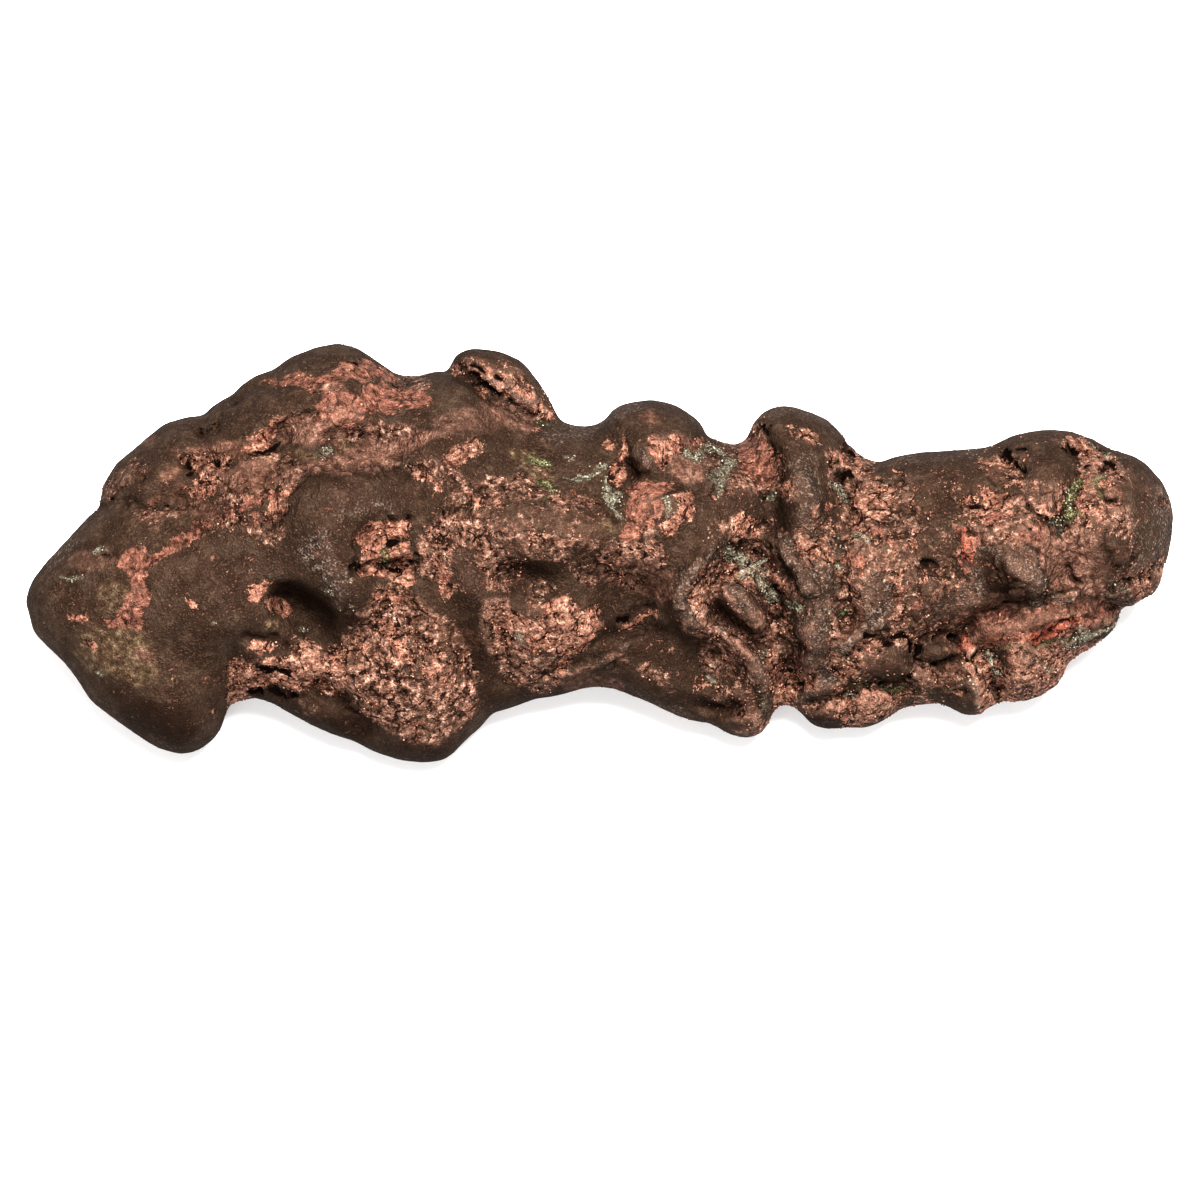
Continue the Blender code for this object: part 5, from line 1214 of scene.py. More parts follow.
# %% Spread paint and relief over the vertices
FAR_SIDE = (-0.30, 0.0)  # how far a vertex faces the eye, where the far side's noise is full and where it ends
CRACK_RUN = 1.7 * MM  # the length over which a crack opens and closes
NARROWEST = 0.25  # how far open a crack stays at its tightest
RELIEF_REACH = 2.6  # half widths from its line at which a relief stroke has faded away
SUNK = {"rough": 0.24, "plate": 0.16, "copper": 0.14, "black": 0.25}  # mm under the patina's level
RAWNESS = {"rough": 1, "copper": 0.7, "mottle": 0.75, "plate": 0.45, "crust": 0.6, "moss": 0.5, "rosy": 0.35,
           "rusty": 0.3, "red": 0.8, "grey_wear_and_sheen": 0.25}


def noise_at(places, size, shift):
    """Fractal noise, mostly from -0.5 to 0.5, with lumps of about the given size (metres)."""
    offset = Vector((shift, shift * 0.7, -shift))
    return np.array([noise.fractal(Vector(p) / size + offset, 1.0, 2.0, 3) for p in places])


def far_share(normals):
    """1 where a vertex faces away from the eye, 0 where it is seen, and between the two near the edge."""
    facing = normals @ np.array(OUT_OF_THE_DRAWING)
    return np.clip((FAR_SIDE[1] - facing) / (FAR_SIDE[1] - FAR_SIDE[0]), 0, 1)


def breaks(places):
    """How fully a crack is open at each place, so that cracks run thin and wide in turns."""
    return np.clip(0.7 + 1.5 * noise_at(places, CRACK_RUN, 41), NARROWEST, 1)


def painted(spots, places, far):
    """The share of each finish at each vertex. What is left over is patina."""
    shares = {finish: np.zeros(len(spots)) for finish in FINISHES}
    opened = breaks(places)
    for finish, strength, half_width, line in PAINT:
        touched = near(spots, line, half_width + AREA_EDGE)
        cover = strength * coverage(spots[touched], half_width, line)
        if finish == "black":
            cover *= opened[touched]
        if finish == "dark":
            cover *= DARK_COVER
        for other in FINISHES:
            shares[other][touched] *= 1 - cover
        if finish != "patina":
            shares[finish][touched] += cover
    hidden = np.nonzero(far > 0)[0]
    broad = noise_at(places[hidden], 14 * MM, 3)
    patchy = noise_at(places[hidden], 7 * MM, 11)
    small = noise_at(places[hidden], 4 * MM, 23)
    to_right = np.clip(places[hidden, 0] / (60 * MM), -1, 1) * 0.12
    made = {"mottle": np.clip((broad + to_right + 0.05) * 3, 0, 0.8),
            "rough": np.clip((patchy + to_right - 0.28) * 5, 0, 1),
            "plate": np.clip((patchy - broad - 0.55) * 6, 0, 1),
            "rosy": np.clip((0.1 - broad) * 1.5, 0, 0.4),
            "crust": np.clip((small - 0.45) * 6, 0, 0.7),
            "black": np.clip((-small - 0.62) * 8, 0, 0.8)}
    for finish in FINISHES:
        shares[finish] *= 1 - far
    for finish, share in made.items():
        for other in FINISHES:
            shares[other][hidden] *= 1 - share * far[hidden]
        shares[finish][hidden] += share * far[hidden]
    return shares


def lifted(spots, places, shares, far):
    """How far each vertex is raised, in metres, by the drawn relief and by its finish."""
    lift = np.zeros(len(spots))
    opened = breaks(places)
    for height, half_width, line in RELIEF:
        touched = near(spots, line, RELIEF_REACH * half_width)
        lift[touched] += height * opened[touched] * np.exp(-((off_line(spots[touched], line) / half_width) ** 2))
    lift *= 1 - far
    lift -= sum(depth * shares[finish] for finish, depth in SUNK.items())
    return lift * MM


def give(mesh, name, values):
    """Stores one number a vertex."""
    stored = mesh.attributes.get(name) or mesh.attributes.new(name, "FLOAT", "POINT")
    stored.data.foreach_set("value", np.ascontiguousarray(values, np.float32))


def rawness(shares):
    """How rough the metal is at each vertex, from smooth patina (0) to torn metal (1)."""
    return np.clip(sum(weight * shares[finish] for finish, weight in RAWNESS.items()), 0, 1)


places = places_of(skin.data)
normals = normals_of(skin.data)
spots, _ = on_drawing(places)
spots = ragged(spots, places)
far = far_share(normals)
shares = painted(spots, places, far)
moved = places + normals * lifted(spots, places, shares, far)[:, None]
skin.data.vertices.foreach_set("co", moved.ravel().astype(np.float32))
skin.data.update()
give(skin.data, "raw", rawness(shares))
print("bare or speckled metal on", round(100 * float(np.mean(rawness(shares) > 0.4))), "% of the vertices")

# %% [markdown]
# Weather follows a rule, so it is a Geometry Nodes tree: every point of the skin moves along its normal by
# the sum of three noises. A broad one gives the soft unevenness of any cast or grown metal. A fine one
# makes raw metal granular, and fades on smooth patina. The third is a field of pores, the cells of a
# Voronoi texture pressed in at their centres. Depths and sizes are inputs of the tree, so they can be tried
# by hand.

# %% Build the weathering tree
WEATHER_INPUTS = (("Unevenness", 0.42 * MM), ("Unevenness size", 4.2 * MM), ("Grain", 0.6 * MM),
                  ("Grain size", 1.15 * MM), ("Polished grain", 0.09 * MM), ("Pore depth", 0.38 * MM),
                  ("Pore spacing", 2.1 * MM), ("Seed", 7.0))


def new_tree(name, inputs):
    """A geometry node tree with a geometry in and out and the named number inputs."""
    tree = bpy.data.node_groups.new(name, "GeometryNodeTree")
    tree.interface.new_socket("Geometry", in_out="INPUT", socket_type="NodeSocketGeometry")
    for label, value in inputs:
        socket = tree.interface.new_socket(label, in_out="INPUT", socket_type="NodeSocketFloat")
        socket.default_value = value
    tree.interface.new_socket("Geometry", in_out="OUTPUT", socket_type="NodeSocketGeometry")
    return tree, tree.nodes.new("NodeGroupInput"), tree.nodes.new("NodeGroupOutput")


def sockets_of(tree):
    """The identifiers of a tree's inputs by name."""
    return {item.name: item.identifier for item in tree.interface.items_tree if item.in_out == "INPUT"}


def math_node(tree, operation, first, second=None, kind="ShaderNodeMath"):
    """One sum. Each of the two may be a number or a socket."""
    made = tree.nodes.new(kind)
    made.operation = operation
    for slot, value in zip(made.inputs, (first, second)):
        if value is None:
            continue
        if isinstance(value, bpy.types.NodeSocket):
            tree.links.new(value, slot)
        else:
            slot.default_value = value
    return made.outputs[0]


def noise_node(tree, place, size, seed, detail, kind="ShaderNodeTexNoise"):
    """Noise centred on zero, with lumps of the given size."""
    made = tree.nodes.new(kind)
    made.noise_dimensions = "4D"
    made.inputs["Detail"].default_value = detail
    tree.links.new(place, made.inputs["Vector"])
    tree.links.new(math_node(tree, "DIVIDE", 1.0, size), made.inputs["Scale"])
    tree.links.new(seed, made.inputs["W"])
    return math_node(tree, "SUBTRACT", made.outputs["Fac"], 0.5)


def weathering_tree():
    tree, start, end = new_tree("weathering", WEATHER_INPUTS)
    place = tree.nodes.new("GeometryNodeInputPosition").outputs[0]
    raw = tree.nodes.new("GeometryNodeInputNamedAttribute")
    raw.data_type = "FLOAT"
    raw.inputs["Name"].default_value = "raw"
    raw = raw.outputs["Attribute"]
    seed = start.outputs["Seed"]
    broad = noise_node(tree, place, start.outputs["Unevenness size"], seed, 3.0)
    broad = math_node(tree, "MULTIPLY", broad, start.outputs["Unevenness"])
    fine = noise_node(tree, place, start.outputs["Grain size"], seed, 3.0)
    grain = math_node(tree, "MULTIPLY", raw, start.outputs["Grain"])
    grain = math_node(tree, "ADD", grain, start.outputs["Polished grain"])
    fine = math_node(tree, "MULTIPLY", fine, grain)
    cells = tree.nodes.new("ShaderNodeTexVoronoi")
    cells.voronoi_dimensions = "4D"
    tree.links.new(place, cells.inputs["Vector"])
    tree.links.new(math_node(tree, "DIVIDE", 1.0, start.outputs["Pore spacing"]), cells.inputs["Scale"])
    tree.links.new(seed, cells.inputs["W"])
    pore = tree.nodes.new("ShaderNodeMapRange")
    pore.interpolation_type = "SMOOTHSTEP"
    tree.links.new(cells.outputs["Distance"], pore.inputs["Value"])
    pore.inputs["From Min"].default_value = 0.1
    pore.inputs["From Max"].default_value = 0.42
    pore.inputs["To Min"].default_value = -1.0
    pore.inputs["To Max"].default_value = 0.0
    depth = math_node(tree, "MULTIPLY", pore.outputs["Result"], start.outputs["Pore depth"])
    depth = math_node(tree, "MULTIPLY", depth, raw)
    total = math_node(tree, "ADD", math_node(tree, "ADD", broad, fine), depth)
    along = tree.nodes.new("ShaderNodeVectorMath")
    along.operation = "SCALE"
    tree.links.new(tree.nodes.new("GeometryNodeInputNormal").outputs[0], along.inputs[0])
    tree.links.new(total, along.inputs["Scale"])
    moved = tree.nodes.new("GeometryNodeSetPosition")
    tree.links.new(start.outputs["Geometry"], moved.inputs["Geometry"])
    tree.links.new(along.outputs[0], moved.inputs["Offset"])
    tree.links.new(moved.outputs[0], end.inputs[0])
    return tree


SKIN_TRIANGLES = 196000
weather = skin.modifiers.new("weather", "NODES")
weather.node_group = weathering_tree()
identifiers = sockets_of(weather.node_group)
for label, value in WEATHER_INPUTS:
    weather[identifiers[label]] = value
thin = skin.modifiers.new("thin out", "DECIMATE")
thin.ratio = min(1.0, SKIN_TRIANGLES / sum(len(face.vertices) - 2 for face in skin.data.polygons))
thin.use_collapse_triangulate = True
settled(skin)
places = places_of(skin.data)
places[:, 2] = np.maximum(places[:, 2], 0)  # nothing sinks into the ground
skin.data.vertices.foreach_set("co", places.ravel().astype(np.float32))
skin.data.update()
print("weathered skin:", len(skin.data.polygons), "triangles")

# %% [markdown]
# Thinning moved vertices and dropped others, so the finishes are painted again on the final mesh, one
# number a vertex for each. A further number, `hollow`, tells how far a vertex lies below its neighbours:
# the material darkens the hollows by it, partly with dirt and partly with painted shade, and rubs the
# ridges bright. The last number is painted shade: it darkens the slopes that face down the drawing and a
# band along the edge where the skin turns side-on, the places the lamp over the nugget reaches least. Bare
# metal takes less of it.

# %% Paint the final skin
HOLLOW_ROUNDS = 8  # how many rings of neighbours a hollow is measured against
# painted shade: darker on slopes that face down the drawing and in a band along the side-on edge
DOWNHILL_SHADE = (0.35, 0.95)  # the slope where it starts, and how fast it thickens
EDGE_SHADE = (0.1, 0.33, 0.22)  # how far the surface faces the eye there, the band's width, and its strength
MOST_SHADE = 0.6
SHADE_OFF_METAL = 0.45

places = places_of(skin.data)
normals = normals_of(skin.data)
spots = ragged(on_drawing(places)[0], places)
far = far_share(normals)
shares = painted(spots, places, far)
for finish in FINISHES:
    give(skin.data, finish, shares[finish])
give(skin.data, "raw", rawness(shares))


def hollowness(mesh, places, normals, rounds):
    """How far each vertex lies under the mean of the vertices round it, in mm."""
    ends = np.empty(len(mesh.edges) * 2, np.int32)
    mesh.edges.foreach_get("vertices", ends)
    first, second = ends.reshape(-1, 2).T
    count = np.bincount(ends, minlength=len(places)).astype(float)
    mean = places.copy()
    for _ in range(rounds):
        total = np.stack([np.bincount(first, mean[second, axis], len(places))
                          + np.bincount(second, mean[first, axis], len(places)) for axis in range(3)], axis=1)
        mean = total / count[:, None]
    return np.einsum("ij,ij->i", mean - places, normals) / MM


give(skin.data, "hollow", hollowness(skin.data, places, normals, HOLLOW_ROUNDS))
# painted shade, from how far each vertex faces down the drawing or side-on to the eye
downhill = -(normals @ np.array(UP_THE_DRAWING))
side_on = np.exp(-(((normals @ np.array(OUT_OF_THE_DRAWING)) - EDGE_SHADE[0]) / EDGE_SHADE[1]) ** 2)
painted_shade = np.maximum((downhill - DOWNHILL_SHADE[0]) * DOWNHILL_SHADE[1], EDGE_SHADE[2] * side_on)
painted_shade = np.clip(painted_shade, 0, MOST_SHADE)
give(skin.data, "painted_shade", painted_shade * (1 - SHADE_OFF_METAL * rawness(shares)))
skin.data.shade_smooth()
print("painted", len(skin.data.vertices), "vertices")

# %% [markdown]
# The finish is one material. It starts as patina and lays every other finish over it by its painted number.
# Tints fade in softly. Bare metal doesn't: worn copper comes through in sharp-edged specks, so its number is
# compared with a fine noise, and a half-strong paint turns into specks that cover half of the surface.
# Copper is only partly metallic here, because raw copper is dull, grained and dusty with oxide.

# %% Build the patinated copper
LIGHT = 0.61  # the studio is bright, so colours are laid down this much darker than they should look


def colour(red, green, blue):
    """An RGBA colour from the usual 0 to 255 screen values."""
    linear = [((v / 255 + 0.055) / 1.055) ** 2.4 if v > 10 else v / 255 / 12.92 for v in (red, green, blue)]
    return (*(v * LIGHT for v in linear), 1.0)


def attribute_node(tree, name):
    made = tree.nodes.new("ShaderNodeAttribute")
    made.attribute_name = name
    return made.outputs["Fac"]


def texture_node(tree, place, size, detail, roughness=0.55, stretch=1.0):
    """Noise from about 0 to 1, with lumps of the given size in mm."""
    made = tree.nodes.new("ShaderNodeTexNoise")
    made.inputs["Scale"].default_value = 1 / (size * MM)
    made.inputs["Detail"].default_value = detail
    made.inputs["Roughness"].default_value = roughness
    tree.links.new(place, made.inputs["Vector"])
    return range_node(tree, made.outputs["Fac"], 0.5 - 0.28 / stretch, 0.5 + 0.28 / stretch, 0, 1)


def range_node(tree, value, from_low, from_high, to_low, to_high, smooth=False):
    made = tree.nodes.new("ShaderNodeMapRange")
    made.interpolation_type = "SMOOTHSTEP" if smooth else "LINEAR"
    tree.links.new(value, made.inputs["Value"])
    numbers = (from_low, from_high, to_low, to_high)
    for slot, number in zip(("From Min", "From Max", "To Min", "To Max"), numbers):
        made.inputs[slot].default_value = number
    return made.outputs["Result"]


def ramp_node(tree, value, *stops):
    """Colours along a number: (place, (red, green, blue)) each."""
    made = tree.nodes.new("ShaderNodeValToRGB")
    points = made.color_ramp.elements
    while len(points) < len(stops):
        points.new(0.5)
    for point, (at, rgb) in zip(points, stops):
        point.position = at
        point.color = colour(*rgb)
    tree.links.new(value, made.inputs[0])
    return made.outputs[0]


def mixed(tree, share, under, over, blend="MIX"):
    """Lays one colour over another by a share."""
    made = tree.nodes.new("ShaderNodeMix")
    made.data_type = "RGBA"
    made.blend_type = blend
    if isinstance(share, bpy.types.NodeSocket):
        tree.links.new(share, made.inputs[0])
    else:
        made.inputs[0].default_value = share
    for slot, value in ((made.inputs[6], under), (made.inputs[7], over)):
        if isinstance(value, bpy.types.NodeSocket):
            tree.links.new(value, slot)
        else:
            slot.default_value = value
    return made.outputs[2]


def noises(tree, place):
    """The noises that the finishes share, from grit of a quarter millimetre to broad clouds."""
    made = {"grit": texture_node(tree, place, 0.28, 1.0, 0.5, 1.3),
            "fine": texture_node(tree, place, 0.8, 3.0, 0.65, 1.2),
            "blotch": texture_node(tree, place, 2.0, 4.0, 0.7, 1.2),
            "patches": texture_node(tree, place, 4.5, 3.0, 0.6, 1.3),
            "broad": texture_node(tree, place, 7.0, 3.0)}
    elsewhere = math_node(tree, "ADD", place, (0.4, 0.3, 0.2), "ShaderNodeVectorMath")
    made["hues"] = texture_node(tree, elsewhere, 1.0, 4.0, 0.75, 1.3)
    made["specks"] = blended(tree, made["grit"], 0.45, made["fine"], 0.55)
    made["flecks"] = blended(tree, made["specks"], 0.55, made["blotch"], 0.45)
    return made


def blended(tree, first, first_share, second, second_share):
    """Two noises added by their shares, and stretched back to about 0 to 1."""
    total = math_node(tree, "ADD", math_node(tree, "MULTIPLY", first, first_share),
                      math_node(tree, "MULTIPLY", second, second_share))
    return range_node(tree, total, 0.2, 0.8, 0, 1)


def patina_shade(tree, noise):
    """Dark brown skin, clouded at two sizes, with light and dark specks."""
    shade = ramp_node(tree, noise["blotch"], (0.1, (49, 35, 27)), (0.5, (70, 52, 41)), (0.9, (96, 73, 58)))
    shade = mixed(tree, range_node(tree, noise["patches"], 0.5, 1, 0, 0.4), shade, colour(104, 86, 72))
    shade = mixed(tree, range_node(tree, noise["patches"], 0.45, 0, 0, 0.4), shade, colour(48, 33, 25))
    shade = mixed(tree, range_node(tree, noise["specks"], 0.6, 1.0, 0, 0.32), shade, colour(132, 106, 88))
    return mixed(tree, range_node(tree, noise["specks"], 0.35, 0.05, 0, 0.42), shade, colour(40, 25, 18))


# each tint of the patina: the noise that it follows, and its colours along that noise
# the grey tint is partly painted sheen, and the dark tint partly painted shade
TINTS = {"grey_wear_and_sheen": ("specks", (0.1, (60, 46, 38)), (0.55, (88, 71, 61)), (0.95, (146, 128, 115))),
         "dark": ("specks", (0.1, (30, 20, 14)), (0.9, (64, 45, 34))),
         "rosy": ("hues", (0.1, (84, 54, 43)), (0.5, (138, 96, 79)), (0.95, (196, 146, 124))),
         "rusty": ("hues", (0.1, (62, 38, 28)), (0.55, (118, 78, 62)), (0.95, (182, 126, 102))),
         "ochre": ("hues", (0.1, (64, 48, 34)), (0.5, (108, 85, 62)), (0.95, (176, 148, 114)))}

# each bare metal or mineral: how fully it covers, the noise that it follows, and its colours
METALS = {"mottle": (0.85, "hues", (0.12, (38, 23, 17)), (0.38, (98, 67, 52)), (0.55, (146, 103, 84)),
                     (0.7, (188, 137, 115)), (0.92, (250, 204, 178))),
          "copper": (1.0, "hues", (0.1, (72, 40, 29)), (0.38, (150, 96, 76)), (0.62, (202, 134, 107)),
                     (0.95, (244, 192, 163))),
          "plate": (1.0, "hues", (0.1, (76, 43, 33)), (0.4, (130, 84, 67)), (0.65, (168, 104, 83)),
                    (0.95, (214, 150, 124))),
          "red": (1.0, "hues", (0.1, (78, 30, 20)), (0.5, (156, 70, 48)), (0.95, (206, 112, 80))),
          "rough": (1.0, "hues", (0.12, (62, 37, 27)), (0.36, (124, 80, 62)), (0.6, (180, 124, 100)),
                    (0.92, (238, 190, 163))),
          "crust": (0.9, "specks", (0.1, (72, 62, 50)), (0.5, (142, 134, 114)), (0.95, (210, 204, 184))),
          "moss": (0.9, "specks", (0.1, (56, 52, 32)), (0.5, (108, 104, 66)), (0.95, (176, 172, 128)))}
SHINING = ("copper", "plate", "rough", "mottle")
FULL_COVER = 1.25  # full paint reaches past the highest fleck, so it leaves none of the skin open
EDGE_AT = 0.04  # how far paint has to stand above the flecks to show by half
SHARP_EDGE = 0.11  # half the span over which an edge fades in
SOFT_EDGE = 0.3  # the same for mottled metal, which melts into the skin


def tinted(tree, shade, noise):
    """Lays the tints over the patina, each a little thicker where the flecks are."""
    for finish, (follows, *stops) in TINTS.items():
        flecked = range_node(tree, noise["flecks"], 0, 1, 0.5, 1.5)
        share = math_node(tree, "MULTIPLY", attribute_node(tree, finish), flecked)
        share = range_node(tree, share, 0.05, 0.95, 0, 1)
        shade = mixed(tree, share, shade, ramp_node(tree, noise[follows], *stops))
    return shade


def bared(tree, shade, noise):
    """Lays metals and minerals over the skin with ragged edges, and tells where metal shines."""
    metal = None
    for finish, (fullness, follows, *stops) in METALS.items():
        fade = SOFT_EDGE if finish == "mottle" else SHARP_EDGE
        share = math_node(tree, "MULTIPLY", attribute_node(tree, finish), FULL_COVER * fullness)
        if finish == "mottle":
            share = math_node(tree, "MULTIPLY", share, range_node(tree, noise["patches"], 0, 1, 0.55, 1.4))
        edge = math_node(tree, "SUBTRACT", share, noise["flecks"])
        mask = range_node(tree, edge, EDGE_AT - fade, EDGE_AT + fade, 0, 1, smooth=True)
        shade = mixed(tree, mask, shade, ramp_node(tree, noise[follows], *stops))
        if finish in SHINING:
            metal = mask if metal is None else math_node(tree, "MAXIMUM", metal, mask)
    return shade, metal


def pores_of(tree, place, noise, raw):
    """Small round pores, the cells of a Voronoi texture near their centres."""
    cells = tree.nodes.new("ShaderNodeTexVoronoi")
    cells.inputs["Scale"].default_value = 1 / (0.85 * MM)
    tree.links.new(place, cells.inputs["Vector"])
    pores = range_node(tree, cells.outputs["Distance"], 0.34, 0.14, 0, 1, smooth=True)
    pores = math_node(tree, "MULTIPLY", pores, range_node(tree, noise["blotch"], 0.3, 0.7, 0, 0.9))
    return math_node(tree, "MULTIPLY", pores, range_node(tree, raw, 0.0, 0.7, 0.15, 1))


def cracks_of(tree, place, noise, raw):
    """Hairline cracks, the borders of Voronoi cells bent by noise and broken up by flecks."""
    warp = tree.nodes.new("ShaderNodeTexNoise")
    warp.inputs["Scale"].default_value = 1 / (1.4 * MM)
    tree.links.new(place, warp.inputs["Vector"])
    bent = math_node(tree, "SCALE", warp.outputs["Color"], None, "ShaderNodeVectorMath")
    bent.node.inputs["Scale"].default_value = 1.6 * MM
    cells = tree.nodes.new("ShaderNodeTexVoronoi")
    cells.feature = "DISTANCE_TO_EDGE"
    cells.inputs["Scale"].default_value = 1 / (2.6 * MM)
    tree.links.new(math_node(tree, "ADD", place, bent, "ShaderNodeVectorMath"), cells.inputs["Vector"])
    cracks = range_node(tree, cells.outputs["Distance"], 0.075, 0.03, 0, 1, smooth=True)
    cracks = math_node(tree, "MULTIPLY", cracks, range_node(tree, noise["flecks"], 0.38, 0.55, 0, 0.95))
    return math_node(tree, "MULTIPLY", cracks, range_node(tree, raw, 0.0, 0.6, 0.1, 1))


def worn_dirty_and_shaded(tree, shade, raw):
    """Dirt and painted shade in the hollows, and metal rubbed bright on the ridges."""
    hollow = attribute_node(tree, "hollow")
    # the hollows are darkened partly as dirt and partly as painted shade
    shade = mixed(tree, range_node(tree, hollow, 0.02, 0.3, 0, 0.42, smooth=True), shade, colour(40, 27, 21))
    worn = range_node(tree, hollow, -0.03, -0.28, 0, 0.45, smooth=True)
    return mixed(tree, math_node(tree, "MULTIPLY", worn, raw), shade, colour(226, 168, 142))


def grained(tree, shade, noise, raw):
    """Tempers the colour, and makes it lighter and darker from grain to grain."""
    tempered = tree.nodes.new("ShaderNodeHueSaturation")
    tempered.inputs["Saturation"].default_value = 0.86
    tempered.inputs["Hue"].default_value = 0.504
    tree.links.new(shade, tempered.inputs["Color"])
    grain = math_node(tree, "ADD", 0.09, math_node(tree, "MULTIPLY", raw, 0.32))
    grain = math_node(tree, "MULTIPLY", grain, range_node(tree, noise["grit"], 0, 1, -1, 1))
    tree.links.new(math_node(tree, "ADD", grain, 1.0), tempered.inputs["Value"])
    return tempered.outputs["Color"]


def copper_material():
    material = bpy.data.materials.new("patinated_copper")
    material.use_nodes = True
    tree = material.node_tree
    principled = tree.nodes["Principled BSDF"]
    place = tree.nodes.new("ShaderNodeTexCoord").outputs["Object"]
    noise = noises(tree, place)
    raw = attribute_node(tree, "raw")

    shade, metal = bared(tree, tinted(tree, patina_shade(tree, noise), noise), noise)
    pores = pores_of(tree, place, noise, raw)
    shade = mixed(tree, pores, shade, colour(34, 20, 14))
    cracks = cracks_of(tree, place, noise, raw)
    shade = mixed(tree, cracks, shade, colour(36, 22, 16))
    shade = worn_dirty_and_shaded(tree, shade, raw)
    ragged = range_node(tree, noise["fine"], 0, 1, -0.15, 0.15)
    black = math_node(tree, "ADD", attribute_node(tree, "black"), ragged)
    black = range_node(tree, black, 0.3, 0.65, 0, 1, smooth=True)
    shade = mixed(tree, black, shade, colour(20, 13, 10))
    shade = mixed(tree, range_node(tree, noise["broad"], 0, 1, 0, 0.22), shade, colour(76, 52, 39))
    # painted shade on the slopes that face down the drawing and along the side-on edge
    shade = mixed(tree, attribute_node(tree, "painted_shade"), shade, colour(30, 19, 14))
    tree.links.new(grained(tree, shade, noise, raw), principled.inputs["Base Color"])

    metallic = math_node(tree, "MULTIPLY", metal, math_node(tree, "SUBTRACT", 1.0, black))
    tree.links.new(range_node(tree, metallic, 0, 1, 0.16, 0.28), principled.inputs["Metallic"])
    dull = range_node(tree, noise["fine"], 0, 1, 0.45, 0.65)
    dull = math_node(tree, "ADD", dull, math_node(tree, "MULTIPLY", raw, 0.06))
    dull = math_node(tree, "MAXIMUM", dull, math_node(tree, "MULTIPLY", black, 0.95))
    tree.links.new(dull, principled.inputs["Roughness"])
    principled.inputs["Specular IOR Level"].default_value = 0.0

    bump = tree.nodes.new("ShaderNodeBump")
    bump.inputs["Strength"].default_value = 0.9
    bump.inputs["Distance"].default_value = 0.3 * MM
    bumps = math_node(tree, "SUBTRACT", noise["specks"], math_node(tree, "MAXIMUM", pores, cracks))
    bumps = math_node(tree, "MULTIPLY", bumps, range_node(tree, raw, 0, 1, 0.65, 1.0))
    tree.links.new(bumps, bump.inputs["Height"])
    tree.links.new(bump.outputs[0], principled.inputs["Normal"])
    return material


copper = copper_material()
skin.data.materials.clear()
skin.data.materials.append(copper)
print("material with", len(copper.node_tree.nodes), "nodes")

# %% [markdown]
# Torn and weathered copper is granular: little crystals and burrs of metal stand up from it, each a few
# tenths of a millimetre across. They are too small for the skin's mesh, so they are scattered over it with
# Geometry Nodes: points are strewn by a painted density, each gets a low-faced stone turned and sized at
# random, and the instances are made real. A second, paler scatter does the same for the mineral crust.

# %% Scatter the grains
GRAIN_INPUTS = (("Grains a square metre", 3.05e6), ("Smallest", 0.07 * MM), ("Largest", 0.2 * MM),
                ("Seed", 3.0))


def grain_tree(name, density, material):
    """Strews low-faced stones over a mesh where its number `density` is high, and returns only the stones."""
    tree, start, end = new_tree(name, GRAIN_INPUTS)
    share = tree.nodes.new("GeometryNodeInputNamedAttribute")
    share.data_type = "FLOAT"
    share.inputs["Name"].default_value = density
    strewn = tree.nodes.new("GeometryNodeDistributePointsOnFaces")
    strewn.distribute_method = "RANDOM"
    tree.links.new(start.outputs["Geometry"], strewn.inputs["Mesh"])
    thick = math_node(tree, "MULTIPLY", share.outputs["Attribute"], start.outputs["Grains a square metre"])
    tree.links.new(thick, strewn.inputs["Density"])
    tree.links.new(start.outputs["Seed"], strewn.inputs["Seed"])
    stone = tree.nodes.new("GeometryNodeMeshIcoSphere")
    stone.inputs["Radius"].default_value = 1.0
    stone.inputs["Subdivisions"].default_value = 1
    turn = tree.nodes.new("FunctionNodeRandomValue")
    turn.data_type = "FLOAT_VECTOR"
    turn.inputs["Max"].default_value = (math.tau, math.tau, math.tau)
    tree.links.new(start.outputs["Seed"], turn.inputs["Seed"])
    width = tree.nodes.new("FunctionNodeRandomValue")
    width.data_type = "FLOAT"
    tree.links.new(start.outputs["Smallest"], width.inputs[2])
    tree.links.new(start.outputs["Largest"], width.inputs[3])
    tree.links.new(start.outputs["Seed"], width.inputs["Seed"])
    stretch = tree.nodes.new("FunctionNodeRandomValue")
    stretch.data_type = "FLOAT_VECTOR"
    stretch.inputs["Min"].default_value = (0.7, 0.7, 0.5)
    stretch.inputs["Max"].default_value = (1.3, 1.1, 0.9)
    sized = tree.nodes.new("ShaderNodeVectorMath")
    sized.operation = "SCALE"
    tree.links.new(stretch.outputs[0], sized.inputs[0])
    tree.links.new(width.outputs[1], sized.inputs["Scale"])
    placed = tree.nodes.new("GeometryNodeInstanceOnPoints")
    tree.links.new(strewn.outputs["Points"], placed.inputs["Points"])
    tree.links.new(stone.outputs["Mesh"], placed.inputs["Instance"])
    tree.links.new(turn.outputs[0], placed.inputs["Rotation"])
    tree.links.new(sized.outputs[0], placed.inputs["Scale"])
    real = tree.nodes.new("GeometryNodeRealizeInstances")
    tree.links.new(placed.outputs[0], real.inputs[0])
    coated = tree.nodes.new("GeometryNodeSetMaterial")
    coated.inputs["Material"].default_value = material
    tree.links.new(real.outputs[0], coated.inputs["Geometry"])
    tree.links.new(coated.outputs[0], end.inputs[0])
    return tree


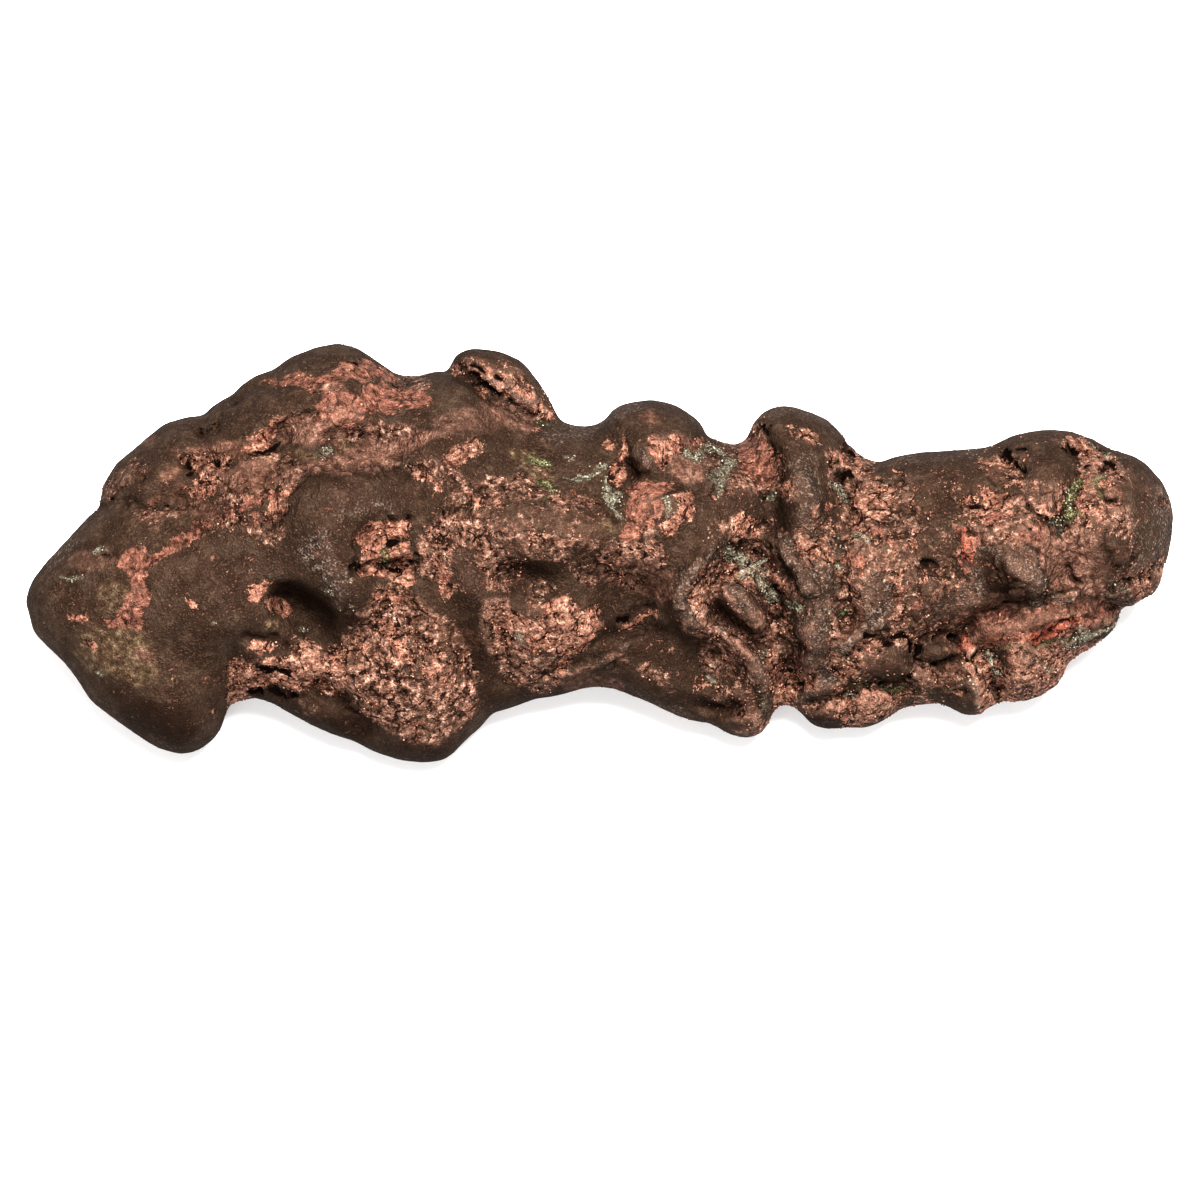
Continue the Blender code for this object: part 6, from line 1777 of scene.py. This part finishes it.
def grain_material(name, *stops):
    """A dull mineral or metal whose shade changes from grain to grain."""
    material = bpy.data.materials.new(name)
    material.use_nodes = True
    tree = material.node_tree
    place = tree.nodes.new("ShaderNodeTexCoord").outputs["Object"]
    from_grain_to_grain = texture_node(tree, place, 0.9, 2.0, 0.7, 1.4)
    principled = tree.nodes["Principled BSDF"]
    tree.links.new(ramp_node(tree, from_grain_to_grain, *stops), principled.inputs["Base Color"])
    principled.inputs["Metallic"].default_value = 0.3
    tree.links.new(range_node(tree, from_grain_to_grain, 0, 1, 0.6, 0.45), principled.inputs["Roughness"])
    return material


def strew(name, density, material, values):
    """A piece made only of the grains strewn over the skin."""
    piece = bpy.data.objects.new(name, skin.data.copy())
    bpy.context.scene.collection.objects.link(piece)
    grains = piece.modifiers.new("grains", "NODES")
    grains.node_group = grain_tree(name, density, material)
    identifiers = sockets_of(grains.node_group)
    for label, value in GRAIN_INPUTS:
        grains[identifiers[label]] = values.get(label, value)
    settled(piece)
    print(name + ":", len(piece.data.polygons), "faces")
    return piece


LOWEST_GRAIN = 0.4 * MM  # below this a grain could reach into the ground
above = places[:, 2] > LOWEST_GRAIN
torn_metal = (shares["rough"] + 0.5 * shares["copper"] + 0.45 * shares["mottle"]
              + 0.12 * shares["plate"] - 2 * shares["black"])
mineral = shares["crust"] + 0.6 * shares["moss"] - 0.15
give(skin.data, "grain_density", above * np.clip(torn_metal, 0, 1))
give(skin.data, "crust_density", above * np.clip(mineral, 0, 1))
copper_grain = grain_material("copper_grain", (0.1, (70, 42, 32)), (0.4, (134, 86, 68)),
                              (0.7, (184, 128, 104)), (0.97, (236, 190, 162)))
crust_grain = grain_material("crust_grain", (0.1, (78, 76, 58)), (0.5, (140, 134, 112)),
                             (0.95, (214, 208, 188)))
copper_grains = strew("copper_grains", "grain_density", copper_grain, {})
crust_grains = strew("crust_grains", "crust_density", crust_grain,
                     {"Grains a square metre": 5.5e6, "Seed": 9.0})

# %% [markdown]
# The three pieces ride on the solid part's one body and stand in for its node, which is not shown itself.

# %% Hand the pieces to the frame
for piece in (skin, copper_grains, crust_grains):
    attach(piece, "root")
    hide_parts("copper_nugget")
print("pieces:", skin.name, copper_grains.name, crust_grains.name)

# %% [markdown]
# The studio is a white sheet under a pale sky, with one large soft lamp almost straight over the nugget and
# a weak one in front. The piece is tipped back, so the lamp lights the upper side of every lump, and short
# soft shadows lie under the lower edge. The camera looks down steeply, square on to the drawing, from far
# enough that the nugget isn't stretched.

# %% Set up the studio and the camera
SHEET_HALF = 1.5  # half the sheet's width, in metres
NUGGET_MIDDLE = (0, 0, 0.015)
SKY = (0.05, 0.82)  # how bright the sky is at the horizon, and how much brighter it gets overhead
LENS = 150.0


def white_sheet():
    mesh = bpy.data.meshes.new("sheet")
    corners = [(-1, -1), (1, -1), (1, 1), (-1, 1)]
    mesh.from_pydata([(x * SHEET_HALF, y * SHEET_HALF, 0) for x, y in corners], [], [(0, 1, 2, 3)])
    material = bpy.data.materials.new("white sheet")
    material.use_nodes = True
    principled = material.node_tree.nodes["Principled BSDF"]
    principled.inputs["Base Color"].default_value = (0.8, 0.8, 0.8, 1)
    principled.inputs["Emission Color"].default_value = (1, 1, 1, 1)
    principled.inputs["Emission Strength"].default_value = 0.2
    principled.inputs["Roughness"].default_value = 0.9
    principled.inputs["Specular IOR Level"].default_value = 0.1
    mesh.materials.append(material)
    sheet = bpy.data.objects.new("sheet", mesh)
    bpy.context.scene.collection.objects.link(sheet)
    return sheet


def soft_lamp(name, place, target, width, watts):
    light = bpy.data.lights.new(name, "AREA")
    light.shape = "DISK"
    light.size = width
    light.energy = watts
    lamp = bpy.data.objects.new(name, light)
    lamp.location = place
    lamp.rotation_euler = (Vector(target) - Vector(place)).to_track_quat("-Z", "Y").to_euler()
    bpy.context.scene.collection.objects.link(lamp)
    return lamp


sheet = white_sheet()
soft_lamp("key", (0.07, 0.0, 0.8), NUGGET_MIDDLE, 0.34, 12.5)
soft_lamp("fill", (-0.1, -0.5, 0.6), NUGGET_MIDDLE, 0.4, 1.4)
world = bpy.data.worlds.new("pale sky")
world.use_nodes = True
sky = world.node_tree
split = sky.nodes.new("ShaderNodeSeparateXYZ")
sky.links.new(sky.nodes.new("ShaderNodeTexCoord").outputs["Generated"], split.inputs[0])
height = math_node(sky, "MAXIMUM", split.outputs["Z"], 0.0)
bright = math_node(sky, "MULTIPLY", math_node(sky, "MULTIPLY", height, height), SKY[1])
sky.links.new(math_node(sky, "ADD", bright, SKY[0]), sky.nodes["Background"].inputs["Strength"])
sky.nodes["Background"].inputs["Color"].default_value = (1, 1, 1, 1)
bpy.context.scene.world = world
bpy.context.scene.view_settings.view_transform = "Standard"
bpy.context.scene.view_settings.look = "High Contrast"
bpy.context.scene.view_settings.exposure = 0.35

lens = bpy.data.cameras.new("camera")
lens.lens = LENS
lens.sensor_width = 36
lens.clip_start = 0.01
camera = bpy.data.objects.new("camera", lens)
bpy.context.scene.collection.objects.link(camera)
camera.location = (DRAWING_AT + TO_THE_RIGHT * EYE[0] + UP_THE_DRAWING * EYE[1]
                   + OUT_OF_THE_DRAWING * EYE[2]) * MM
camera.rotation_euler = (TIP_BACK, 0, 0)
bpy.context.scene.camera = camera
print("camera", round(camera.location.length, 3), "m from the nugget's foot")
